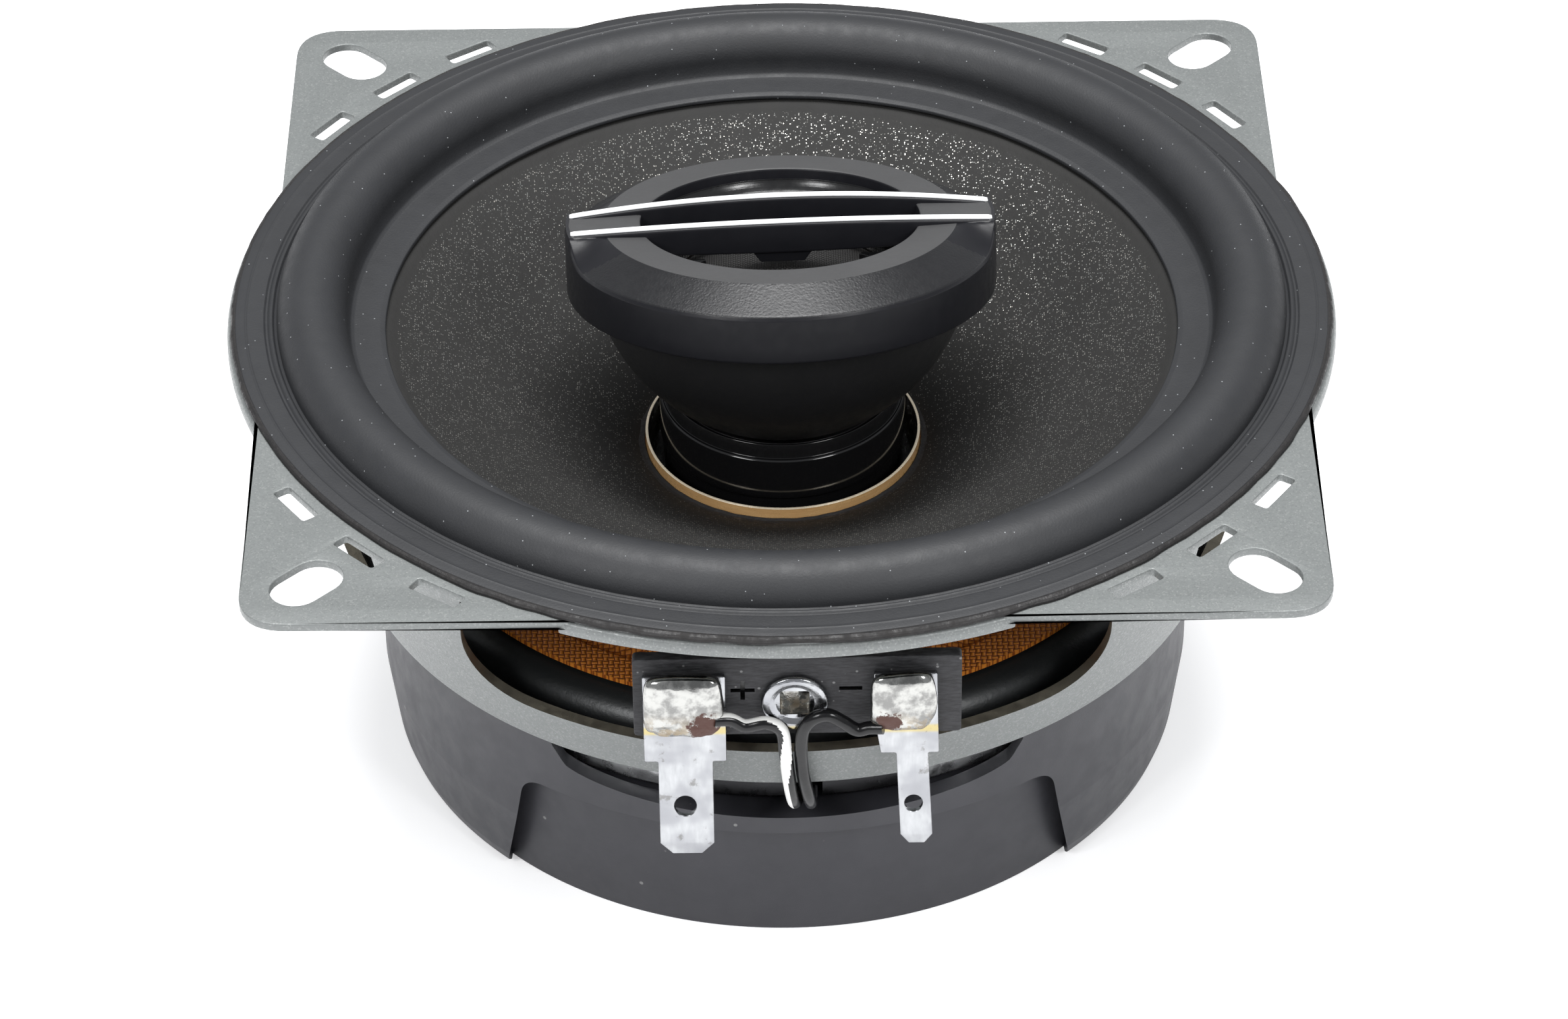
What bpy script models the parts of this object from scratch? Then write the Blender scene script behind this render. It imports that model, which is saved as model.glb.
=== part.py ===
"""Coaxial car loudspeaker of the 10 cm class with a swivelling ball tweeter.

The origin is under the middle of the rubber magnet boot, +Z is the speaker's axis and the
terminals face -Y. Sizes below are in millimetres and become metres through MM.
"""

import math

import bmesh
import bpy
from mathutils import Matrix, Vector

MM = 0.001
TURN_STEPS = 32
BASKET_STEPS = 40
GAP = 0.3

# Mounting flange and basket
FLANGE_TOP = 45.5
SHEET = 0.8
RIM_RADIUS = 51.0
RIM_DROP = 1.5
EAR_HALF = 47.15
EAR_CORNER = 4.5
SLOT_OFFSET = 41.4
SLOT_WIDTH = 4.6
SLOT_LENGTH = 7.0
CLIP_SLOT_RADIUS = 52.45
CLIP_SLOT_SIZE = (5.0, 1.6)
CLIP_SLOT_STEP = 10.0
EAR_HOLE_RADIUS = 46.9
CLEARANCE_HOLE = 1.9
WALL_THICKNESS = 1.2
FLOOR_BOTTOM = 21.5
WINDOW_LOW = 26.6
WINDOW_HIGH = 42.5
WINDOW_CORNER = 6.0
WINDOW_HALF_FRONT = 28.9
WINDOW_HALF_SIDE = 24.3

# Motor
PLATE_TOP = 21.2
PLATE_BOTTOM = 15.9
PLATE_RADIUS = 36.3
GAP_RADIUS = 14.1
POLE_RADIUS = 12.2
MAGNET_OUTER = 32.5
MAGNET_INNER = 20.0
YOKE_RADIUS = 33.9
YOKE_TOP = 5.6
YOKE_BOTTOM = 1.3
POLE_BORE = 4.2
NUT_POCKET = 6.8
LEAD_CHANNEL_X = 1.4
LEAD_CHANNEL_WIDTH = 3.4
RIVET_CIRCLE = 26.0

# Cone, voice coil, surround and spider
CONE_RIM = (36.4, 43.4)
CONE_NECK = (13.2, 29.8)
PAPER = 0.5
FORMER_INNER = 12.6
FORMER_OUTER = 12.86
FORMER_LOW = 14.7
FORMER_HIGH = 31.05
ROLL_CENTRE = 43.2
ROLL_RADIUS = 3.2
ROLL_BASE = 45.75
LIP_OUTER = 50.2
SPIDER_OUTER = 35.5
SPIDER_WAVES = 5

# Ball tweeter
BALL_CENTRE = (0.0, 0.0, 51.3)
BALL_RADIUS = 17.6
BALL_WALL = 1.5
TWEETER_TILT = 13.3
TWEETER_TURN = 2.9
CAP_RADIUS = 19.7
BAR_HALF_LENGTH = 19.2
BAR_ARCH = 0.86
BAR_OFFSET = 2.23
BAR_BOW = 1.08
RIB_WIDTH = 1.5
RIB_HEIGHTS = (1.1, 2.98)
STRIPE_WIDTH = 0.9
STRIPE_HEIGHTS = (3.05, 3.15)
STEM_RADIUS = 11.45
STEM_SOCKET = 19.0
STEM_WALL = 1.6
SADDLE_SPHERES = (14.8, 15.8)
SEAT_SPHERES = (17.9, 18.7)
SPRING_RADIUS = 2.7
SPRING_HEIGHTS = (37.25, 38.85)
CAPACITOR_OFFSET = 6.2

# Terminals
BOARD_FRONT = -44.7
BOARD_THICKNESS = 1.2
BOARD_BOX = (-13.45, 15.15, 30.6, 39.2)
BLADE_THICKNESS = 0.5
BLADE_BACK = BOARD_FRONT - 0.1
EYELET = (0.62, 34.4)
EYELET_HOLE = 2.2
EYELET_SQUARE = 2.5
TONGUE_THICKNESS = 1.2
LEAD_DIAMETER = 1.2

BLACK = (0.012, 0.012, 0.014)
STEEL = (0.55, 0.56, 0.57)
TIN = (0.80, 0.81, 0.83)


def clear_scene():
    for item in list(bpy.data.objects):
        bpy.data.objects.remove(item, do_unlink=True)


def new_collection(name):
    group = bpy.data.collections.new(name)
    bpy.context.scene.collection.children.link(group)
    return group


def paint(item, colour, roughness, metallic=0.0):
    """Give the object a Principled material of its own."""
    material = bpy.data.materials.new(item.name + "_material")
    material.use_nodes = True
    shader = material.node_tree.nodes["Principled BSDF"]
    shader.inputs["Base Color"].default_value = (*colour, 1.0)
    shader.inputs["Roughness"].default_value = roughness
    shader.inputs["Metallic"].default_value = metallic
    item.data.materials.clear()
    item.data.materials.append(material)
    return item


def add_object(name, data, group):
    item = bpy.data.objects.new(name, data)
    group.objects.link(item)
    return item


def add_cutter(item):
    """A cutter is never rendered and shows as a wire."""
    item.hide_render = True
    item.display_type = "WIRE"
    return item


def attach(item, parent):
    """Place the object in its parent's own frame."""
    item.parent = parent
    return item


def turned(name, profile, group, steps=TURN_STEPS, closed=True):
    """A turned solid: (radius, height) points down the outer side, then up the inner side."""
    points = [(radius * MM, 0.0, height * MM) for radius, height in profile]
    edges = [(i, i + 1) for i in range(len(points) - 1)]
    if closed:
        edges.append((len(points) - 1, 0))
    mesh = bpy.data.meshes.new(name)
    mesh.from_pydata(points, edges, [])
    item = add_object(name, mesh, group)
    screw = item.modifiers.new("Turn", "SCREW")
    screw.steps = steps
    screw.render_steps = steps
    screw.use_merge_vertices = True
    screw.merge_threshold = 1e-6
    return item


def box(name, low, high, group):
    """An axis-aligned block between two corners."""
    mesh = bpy.data.meshes.new(name)
    work = bmesh.new()
    bmesh.ops.create_cube(work, size=1.0)
    middle = (Vector(low) + Vector(high)) / 2
    for vertex in work.verts:
        for axis in range(3):
            vertex.co[axis] = (middle[axis] + vertex.co[axis] * (high[axis] - low[axis])) * MM
    work.to_mesh(mesh)
    work.free()
    return add_object(name, mesh, group)


def cylinder(name, radius, low, high, group, sides=24, at=(0.0, 0.0)):
    """An upright solid cylinder."""
    mesh = bpy.data.meshes.new(name)
    work = bmesh.new()
    bmesh.ops.create_cone(
        work, cap_ends=True, segments=sides, radius1=radius * MM, radius2=radius * MM,
        depth=(high - low) * MM,
        matrix=Matrix.Translation((at[0] * MM, at[1] * MM, (low + high) / 2 * MM)),
    )
    work.to_mesh(mesh)
    work.free()
    return add_object(name, mesh, group)


def as_mesh(item, group, name):
    """Turn a curve object into a welded mesh object, so that it can be cut."""
    bpy.context.view_layer.update()
    graph = bpy.context.evaluated_depsgraph_get()
    mesh = bpy.data.meshes.new_from_object(item.evaluated_get(graph))
    work = bmesh.new()
    work.from_mesh(mesh)
    bmesh.ops.remove_doubles(work, verts=work.verts, dist=1e-6)
    bmesh.ops.recalc_face_normals(work, faces=work.faces)
    work.to_mesh(mesh)
    work.free()
    matrix = item.matrix_world.copy()
    bpy.data.objects.remove(item, do_unlink=True)
    solid = add_object(name, mesh, group)
    solid.matrix_world = matrix
    return solid


def rounded(points, radius, steps=4):
    """A closed outline with each corner replaced by an arc."""
    outline = []
    for i, corner in enumerate(points):
        here = Vector(corner)
        before = (Vector(points[i - 1]) - here).normalized()
        after = (Vector(points[(i + 1) % len(points)]) - here).normalized()
        half = before.angle(after) / 2
        centre = here + (before + after).normalized() * radius / math.sin(half)
        start = here + before * radius / math.tan(half) - centre
        end = here + after * radius / math.tan(half) - centre
        for k in range(steps + 1):
            share = k / steps
            sweep = start.angle(end)
            mix = (math.sin((1 - share) * sweep) * start + math.sin(share * sweep) * end)
            outline.append(tuple(centre + mix / math.sin(sweep)))
    return outline


def circle(radius, centre, sides=24):
    return [
        (
            centre[0] + radius * math.cos(2 * math.pi * i / sides),
            centre[1] + radius * math.sin(2 * math.pi * i / sides),
        )
        for i in range(sides)
    ]


def plate(name, outlines, low, high, group, upright=False):
    """A flat outline, with holes, made solid from low to high.

    Upright plates have their outline in X and Z, and low and high are depths along +Y.
    """
    curve = bpy.data.curves.new(name, "CURVE")
    curve.dimensions = "2D"
    curve.fill_mode = "BOTH"
    curve.extrude = (high - low) / 2 * MM
    for outline in outlines:
        spline = curve.splines.new("POLY")
        spline.points.add(len(outline) - 1)
        for point, (a, b) in zip(spline.points, outline):
            point.co = (a * MM, b * MM, 0.0, 1.0)
        spline.use_cyclic_u = True
    item = add_object(name + "_outline", curve, group)
    middle = (low + high) / 2 * MM
    item.location = (0.0, middle, 0.0) if upright else (0.0, 0.0, middle)
    item.rotation_euler = (math.pi / 2, 0.0, 0.0) if upright else (0.0, 0.0, 0.0)
    return as_mesh(item, group, name)


def combine(item, other, operation):
    """Join the other solid to the object, cut it away, or keep what both share."""
    step = item.modifiers.new(f"{operation.title()} {other.name}", "BOOLEAN")
    step.operation = operation
    step.object = other
    step.solver = "EXACT"
    return item


def smooth(item, angle=35.0):
    item.data.shade_smooth()
    item.data.set_sharp_from_angle(angle=math.radians(angle))
    return item


def wire(name, route, diameter, group, bevel_resolution=2):
    """A round wire along a polyline, with closed ends."""
    curve = bpy.data.curves.new(name, "CURVE")
    curve.dimensions = "3D"
    curve.bevel_depth = diameter / 2 * MM
    curve.bevel_resolution = bevel_resolution
    curve.use_fill_caps = True
    spline = curve.splines.new("POLY")
    spline.points.add(len(route) - 1)
    for point, place in zip(spline.points, route):
        point.co = (*(Vector(place) * MM), 1.0)
    return add_object(name, curve, group)


def smooth_route(points, per_span=4):
    """Points on a Catmull-Rom curve through the route's own points."""
    ends = [2 * Vector(points[0]) - Vector(points[1])]
    ends += [Vector(p) for p in points]
    ends += [2 * Vector(points[-1]) - Vector(points[-2])]
    route = []
    for a, b, c, d in zip(ends, ends[1:], ends[2:], ends[3:]):
        for k in range(per_span):
            t = k / per_span
            route.append(
                0.5 * (2 * b + (c - a) * t + (2 * a - 5 * b + 4 * c - d) * t * t
                       + (3 * b - a - 3 * c + d) * t**3)
            )
    route.append(Vector(points[-1]))
    return route


def arc(radius, from_angle, to_angle, steps, centre=(0.0, 0.0)):
    """Profile points on a circle; angles in degrees from the +radius direction."""
    return [
        (
            centre[0] + radius * math.cos(math.radians(from_angle + (to_angle - from_angle) * k / steps)),
            centre[1] + radius * math.sin(math.radians(from_angle + (to_angle - from_angle) * k / steps)),
        )
        for k in range(steps + 1)
    ]


def sphere_height(radius, sphere):
    """Height under the ball's centre of a sphere's lower side at a distance from the axis."""
    return BALL_CENTRE[2] - math.sqrt(sphere * sphere - radius * radius)


# ---------------------------------------------------------------- basket


def basket_shell(group):
    """Flange, conical wall, spider seat and floor as one pressed sheet."""
    underside = FLANGE_TOP - SHEET
    wall = [(46.0, underside), (45.2, 39.5), (44.0, 32.5), (42.3, 26.5), (41.2, 23.0), (40.7, 21.5)]
    inner_wall = [(radius - WALL_THICKNESS, height) for radius, height in reversed(wall[1:4])]
    profile = [(46.6, FLANGE_TOP), (50.2, FLANGE_TOP), (50.85, 45.2), (RIM_RADIUS, 44.7)]
    profile += [(RIM_RADIUS, FLANGE_TOP - RIM_DROP), (50.2, FLANGE_TOP - RIM_DROP)]
    profile += [(50.2, underside)] + wall
    profile += [(35.2, FLOOR_BOTTOM), (35.2, 24.8), (31.5, 24.8), (31.5, FLOOR_BOTTOM)]
    profile += [(16.5, FLOOR_BOTTOM), (16.5, 22.7), (29.9, 22.7), (30.4, 26.05), (35.8, 26.05)]
    profile += [(37.0, 25.6), (38.2, 23.5), (39.0, 22.8), (39.95, 22.8)]
    profile += inner_wall + [(44.8, 43.6), (45.4, 44.9)]
    return turned("basket_frame", profile, group, steps=BASKET_STEPS)


def window(name, half_width, cutters):
    """Cutter for a window, at the front of the wall and reaching through it."""
    corners = [
        (-half_width, WINDOW_LOW), (half_width, WINDOW_LOW),
        (half_width, WINDOW_HIGH), (-half_width, WINDOW_HIGH),
    ]
    outline = rounded(corners, WINDOW_CORNER, 3)
    return add_cutter(plate(name, [outline], -50.0, -28.0, cutters, upright=True))


def make_basket(parts, cutters):
    basket = basket_shell(parts)
    ear_corners = [
        (-EAR_HALF, -EAR_HALF), (EAR_HALF, -EAR_HALF), (EAR_HALF, EAR_HALF), (-EAR_HALF, EAR_HALF),
    ]
    ear_outline = rounded(ear_corners, EAR_CORNER)
    hole = circle(EAR_HOLE_RADIUS, (0.0, 0.0), BASKET_STEPS)
    ears = add_cutter(plate("ear_plate", [ear_outline, hole], FLANGE_TOP - SHEET, FLANGE_TOP, cutters))
    combine(basket, ears, "UNION")

    lip = [(51.5, 44.72), (51.5, 43.0), (49.0, 43.0), (49.0, 44.72)]
    lip_cutter = add_cutter(turned("lip_under_ears", lip, cutters, steps=BASKET_STEPS))
    inset = [(x * 0.999, y * 0.999) for x, y in ear_outline]
    under_ears = add_cutter(plate("under_ears", [inset], 42.0, FLANGE_TOP - SHEET + 0.5, cutters))
    combine(lip_cutter, under_ears, "INTERSECT")
    combine(basket, lip_cutter, "DIFFERENCE")

    for name, half_width, turn in (
        ("window_front", WINDOW_HALF_FRONT, 0), ("window_right", WINDOW_HALF_SIDE, 90),
        ("window_back", WINDOW_HALF_FRONT, 180), ("window_left", WINDOW_HALF_SIDE, 270),
    ):
        cutter = window(name, half_width, cutters)
        cutter.data.transform(cutter.matrix_world)
        cutter.matrix_world = Matrix.Rotation(math.radians(turn), 4, "Z")
        combine(basket, cutter, "DIFFERENCE")

    tongue_front = -43.2
    tongue_back = tongue_front + TONGUE_THICKNESS
    tongue = add_cutter(box("board_tongue", (-6.0, tongue_front, 31.5), (7.2, tongue_back, 44.4), cutters))
    bridge = add_cutter(box("tongue_bridge", (-5.8, -45.4, 42.9), (7.0, -42.6, 44.3), cutters))
    combine(basket, tongue, "UNION")
    combine(basket, bridge, "UNION")
    hole = circle(EYELET_HOLE, EYELET, 16)
    tongue_hole = plate("tongue_hole", [hole], -44.0, -41.0, cutters, upright=True)
    combine(basket, add_cutter(tongue_hole), "DIFFERENCE")

    half_straight = (SLOT_LENGTH - SLOT_WIDTH) / 2
    for quadrant in range(4):
        diagonal = 45.0 + 90.0 * quadrant
        turn = Matrix.Rotation(math.radians(diagonal), 4, "Z")
        distance = SLOT_OFFSET * math.sqrt(2)
        slot = [
            (distance + half_straight * side + SLOT_WIDTH / 2 * math.cos(angle),
             SLOT_WIDTH / 2 * math.sin(angle))
            for side, first in ((1, -90), (-1, 90))
            for angle in (math.radians(first + 36.0 * k) for k in range(6))
        ]
        cutter = add_cutter(plate(f"mount_slot_{quadrant}", [slot], 44.0, 46.0, cutters))
        cutter.matrix_world = turn @ cutter.matrix_world
        combine(basket, cutter, "DIFFERENCE")
        for step in (-1, 0, 1):
            length, width = CLIP_SLOT_SIZE
            clip = box(
                f"clip_slot_{quadrant}_{step + 1}",
                (CLIP_SLOT_RADIUS - width / 2, -length / 2, 44.0),
                (CLIP_SLOT_RADIUS + width / 2, length / 2, 46.0), cutters,
            )
            clip.matrix_world = Matrix.Rotation(math.radians(diagonal + step * CLIP_SLOT_STEP), 4, "Z")
            combine(basket, add_cutter(clip), "DIFFERENCE")

    for hole_cutter in rivet_holes(cutters, "floor_hole", FLOOR_BOTTOM - 1, 24.5):
        combine(basket, hole_cutter, "DIFFERENCE")
    paint(basket, (0.22, 0.24, 0.25), 0.45, 0.6)


def rivet_holes(cutters, name, low, high):
    """Four clearance holes for the rivets that clamp the basket to the top plate."""
    return [
        add_cutter(cylinder(f"{name}_{i}", CLEARANCE_HOLE, low, high, cutters, 8, rivet_place(i)))
        for i in range(4)
    ]


def rivet_place(index):
    angle = math.radians(45.0 + 90.0 * index)
    return (RIVET_CIRCLE * math.cos(angle), RIVET_CIRCLE * math.sin(angle))


def make_staking_rivets(parts):
    profile = [(0.0, 24.0), (2.3, 24.0), (3.0, 23.4), (3.0, 23.0), (1.6, 23.0), (1.6, 16.2), (0.0, 16.2)]
    for i in range(4):
        rivet = turned(f"staking_rivet_{i + 1}", profile, parts, steps=16, closed=False)
        rivet.location = (*(value * MM for value in rivet_place(i)), 0.0)
        paint(rivet, STEEL, 0.35, 1.0)


# ---------------------------------------------------------------- motor


def make_motor(parts, cutters):
    plate_profile = [
        (GAP_RADIUS, PLATE_TOP), (PLATE_RADIUS - 0.5, PLATE_TOP), (PLATE_RADIUS, PLATE_TOP - 0.5),
        (PLATE_RADIUS, PLATE_BOTTOM + 0.5), (PLATE_RADIUS - 0.5, PLATE_BOTTOM), (GAP_RADIUS, PLATE_BOTTOM),
    ]
    top_plate = turned("top_plate", plate_profile, parts)
    half = LEAD_CHANNEL_WIDTH / 2
    left, right = LEAD_CHANNEL_X - half, LEAD_CHANNEL_X + half
    notch = add_cutter(box("plate_notch", (left, -38, 15), (right, -32.6, 22), cutters))
    combine(top_plate, notch, "DIFFERENCE")
    for cutter in rivet_holes(cutters, "plate_hole", PLATE_BOTTOM - 1, PLATE_TOP + 1):
        combine(top_plate, cutter, "DIFFERENCE")
    paint(top_plate, (0.60, 0.61, 0.60), 0.3, 1.0)

    magnet_low, magnet_high = YOKE_TOP + GAP, PLATE_BOTTOM - GAP
    magnet_profile = [
        (MAGNET_INNER, magnet_high), (MAGNET_OUTER - 0.6, magnet_high), (MAGNET_OUTER, magnet_high - 0.6),
        (MAGNET_OUTER, magnet_low + 0.6), (MAGNET_OUTER - 0.6, magnet_low), (MAGNET_INNER, magnet_low),
    ]
    paint(turned("ferrite_magnet", magnet_profile, parts), (0.03, 0.03, 0.032), 0.7)

    yoke_profile = [
        (POLE_BORE, PLATE_TOP), (POLE_RADIUS, PLATE_TOP), (POLE_RADIUS, YOKE_TOP),
        (YOKE_RADIUS - 0.5, YOKE_TOP), (YOKE_RADIUS, YOKE_TOP - 0.5), (YOKE_RADIUS, YOKE_BOTTOM + 0.5),
        (YOKE_RADIUS - 0.5, YOKE_BOTTOM), (NUT_POCKET, YOKE_BOTTOM), (NUT_POCKET, 5.8), (POLE_BORE, 5.8),
    ]
    yoke = turned("t_yoke", yoke_profile, parts)
    channel = add_cutter(box("yoke_channel", (left, -36, 0), (right, -5, YOKE_BOTTOM + 2.0), cutters))
    notch = add_cutter(box("yoke_notch", (left - 0.01, -36.5, -0.5), (right + 0.01, -31.9, 7), cutters))
    combine(yoke, channel, "DIFFERENCE")
    combine(yoke, notch, "DIFFERENCE")
    paint(yoke, (0.60, 0.61, 0.60), 0.3, 1.0)


def make_boot(parts, cutters):
    """Rubber cover over the magnet, with a lead opening and a recessed panel in front."""
    profile = [
        (0.0, 1.0), (34.3, 1.0), (34.3, 15.5), (36.7, 15.8), (36.7, PLATE_TOP), (38.0, PLATE_TOP),
        (38.3, 20.9), (38.3, 8.5), (37.5, 2.0), (37.1, 0.8), (36.4, 0.15), (35.6, 0.0), (0.0, 0.0),
    ]
    boot = turned("magnet_boot", profile, parts, steps=BASKET_STEPS, closed=False)
    opening = [(-21.9, 22.5), (-20.6, 17.6)]
    opening += [(20.6 * math.sin(a), 17.6 - 2.1 * math.cos(a)) for a in
                (math.radians(-75 + 150 * k / 10) for k in range(11))]
    opening += [(20.6, 17.6), (21.9, 22.5)]
    lead_opening = plate("boot_lead_opening", [opening], -45.0, -25.0, cutters, upright=True)
    combine(boot, add_cutter(lead_opening), "DIFFERENCE")

    panel = rounded([(-26.4, -1.0), (26.4, -1.0), (24.1, 13.7), (-24.1, 13.7)], 2.5, 5)
    panel_cutter = add_cutter(plate("boot_panel", [panel], -45.0, -20.0, cutters, upright=True))
    core = add_cutter(turned(
        "boot_panel_core",
        [(0.0, 20.0), (36.9, 20.0), (36.6, 13.0), (35.7, 0.5), (35.6, -2.0), (0.0, -2.0)],
        cutters, steps=BASKET_STEPS, closed=False,
    ))
    combine(panel_cutter, core, "DIFFERENCE")
    combine(boot, panel_cutter, "DIFFERENCE")
    paint(boot, (0.02, 0.02, 0.024), 0.6)


# ---------------------------------------------------------------- moving system


def cone_surface(radius):
    """Height of the cone's upper face."""
    slope = (CONE_RIM[1] - CONE_NECK[1]) / (CONE_RIM[0] - CONE_NECK[0])
    return CONE_NECK[1] + (radius - CONE_NECK[0]) * slope


def make_cone(parts):
    drop = PAPER / math.cos(math.atan2(CONE_RIM[1] - CONE_NECK[1], CONE_RIM[0] - CONE_NECK[0]))
    profile = [
        (39.5, 43.5), (39.5, 43.0), (36.5, 42.85), (13.4, cone_surface(13.4) - drop),
        (13.1, 29.1), (13.1, 29.75), (36.4, 43.35),
    ]
    paint(turned("cone", profile, parts), (0.03, 0.03, 0.032), 0.7)
    former = [(FORMER_OUTER, FORMER_HIGH), (FORMER_OUTER, FORMER_LOW), (FORMER_INNER, FORMER_LOW),
              (FORMER_INNER, FORMER_HIGH)]
    paint(turned("voice_coil_former", former, parts), (0.75, 0.42, 0.12), 0.3)
    winding = [(13.5, 22.1), (13.5, 15.1), (12.97, 15.1), (12.97, 22.1)]
    paint(turned("voice_coil_winding", winding, parts), (0.60, 0.25, 0.12), 0.35, 1.0)


def make_surround(parts):
    """Half-roll rubber edge: outer lip on the flange, roll, and inner lip over the cone's edge."""
    thickness = 0.5
    outside = arc(ROLL_RADIUS, 0, 180, 6, (ROLL_CENTRE, ROLL_BASE))
    inside = arc(ROLL_RADIUS - thickness, 180, 0, 6, (ROLL_CENTRE, ROLL_BASE))
    top = [(LIP_OUTER, 46.1), (47.3, 46.1), (46.9, 46.1)] + outside + [(39.7, 44.35), (36.45, 44.2)]
    under = [(36.45, 43.8), (40.2, 43.85), (40.5, 44.5)] + inside[1:] + [(46.6, 45.6), (LIP_OUTER, 45.6)]
    loop = list(reversed(under)) + list(reversed(top))
    paint(turned("surround", loop, parts), BLACK, 0.65)
    bead = [(50.34, 46.0), (50.7, 45.93), (50.95, 45.62), (50.34, 45.62)]
    paint(turned("edge_adhesive", bead, parts, BASKET_STEPS), BLACK, 0.15)


def make_spider(parts):
    """Corrugated cloth disc that centres the voice coil."""
    middle = 26.65
    wave_start, wave_end = 14.2, 32.5
    wave = [(wave_start + (wave_end - wave_start) * k / (2 * SPIDER_WAVES),
             middle + (0.6 if k % 2 else -0.4) * (0 < k < 2 * SPIDER_WAVES))
            for k in range(2 * SPIDER_WAVES + 1)]
    line = [(13.1, middle)] + wave + [(SPIDER_OUTER, middle)]
    half = 0.25
    lower = [(radius, height - half) for radius, height in reversed(line)]
    upper = [(radius, height + half) for radius, height in line]
    paint(turned("spider", lower + upper, parts), (0.62, 0.33, 0.10), 0.8)


def make_tinsel_leads(parts):
    """Flexible braids from the back of the terminals to the cone's neck."""
    for name, side in (("tinsel_lead_positive", -1), ("tinsel_lead_negative", 1)):
        start_x = -9.0 if side < 0 else 10.3
        route = [(start_x, -43.0, 33.4), (start_x, -40.0, 32.6), (start_x * 0.94, -33.5, 31.2),
                 (side * 7.4, -26.0, 30.6), (side * 6.0, -19.0, 30.0), (side * 5.4, -14.6, 28.8)]
        paint(wire(name, smooth_route(route, 3), 0.8, parts, 1), (0.55, 0.28, 0.16), 0.4, 1.0)


# ---------------------------------------------------------------- terminals and leads


def make_board(parts, cutters):
    left, right, low, high = BOARD_BOX
    corners = [(left, low), (right, low), (right, high), (left, high)]
    outline = rounded(corners, 0.4, 2)
    back = BOARD_FRONT + BOARD_THICKNESS
    hole = circle(EYELET_HOLE, EYELET, 20)
    board = plate("terminal_board", [outline, hole], BOARD_FRONT, back, parts, upright=True)
    paint(board, BLACK, 0.75)

    front_height = 0.75
    shank_end = -BOARD_THICKNESS - GAP - TONGUE_THICKNESS - 0.25
    tail = 0.6
    profile = [
        (0.0, 0.25), (1.9, 0.45), (2.5, front_height), (3.0, 0.4), (3.0, 0.1), (1.9, 0.1),
        (1.9, shank_end), (2.8, shank_end), (2.8, shank_end - tail), (0.0, shank_end - tail),
    ]
    rivet = turned("board_rivet", profile, parts, 20, False)
    rivet.rotation_euler = (math.pi / 2, 0.0, 0.0)
    rivet.location = (EYELET[0] * MM, BOARD_FRONT * MM, EYELET[1] * MM)
    half = EYELET_SQUARE / 2
    square = box("rivet_square", (EYELET[0] - half, -47.0, EYELET[1] - half),
                 (EYELET[0] + half, -40.0, EYELET[1] + half), cutters)
    combine(rivet, add_cutter(square), "DIFFERENCE")
    paint(rivet, TIN, 0.3, 1.0)


def blade(name, outline, hole, parts):
    """A stamped quick-connect tab lying on the front of the board."""
    item = plate(name, [outline, hole], BLADE_BACK - BLADE_THICKNESS, BLADE_BACK, parts, upright=True)
    return paint(item, TIN, 0.25, 1.0)


def solder(name, low, high, parts):
    """A solder fillet over the pad of a terminal."""
    item = box(name, low, high, parts)
    swell = item.modifiers.new("Swell", "SUBSURF")
    swell.levels = 2
    swell.render_levels = 2
    smooth(item, 180)
    return paint(item, TIN, 0.2, 1.0)


def make_terminals(parts):
    positive = [
        (-12.6, 37.6), (-12.6, 28.1), (-11.4, 28.1), (-11.4, 18.7), (-10.3, 17.5), (-7.7, 17.5),
        (-6.6, 18.7), (-6.6, 28.1), (-5.4, 28.1), (-5.4, 37.6),
    ]
    blade("positive_terminal", positive, circle(0.95, (-9.0, 23.1), 16), parts)
    negative = [
        (7.5, 37.7), (7.5, 33.0), (8.1, 28.8), (9.45, 28.8), (9.85, 19.4), (10.6, 18.4), (12.0, 18.4),
        (12.7, 19.4), (12.25, 28.8), (13.2, 28.8), (13.0, 37.7),
    ]
    blade("negative_terminal", negative, circle(0.75, (11.1, 23.1), 16), parts)
    front = BLADE_BACK - BLADE_THICKNESS - 0.1
    solder("solder_joint_positive", (-13.1, front - 1.6, 31.3), (-4.95, front, 39.0), parts)
    solder("solder_joint_negative", (6.9, front - 1.5, 31.4), (13.3, front, 39.0), parts)


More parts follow.
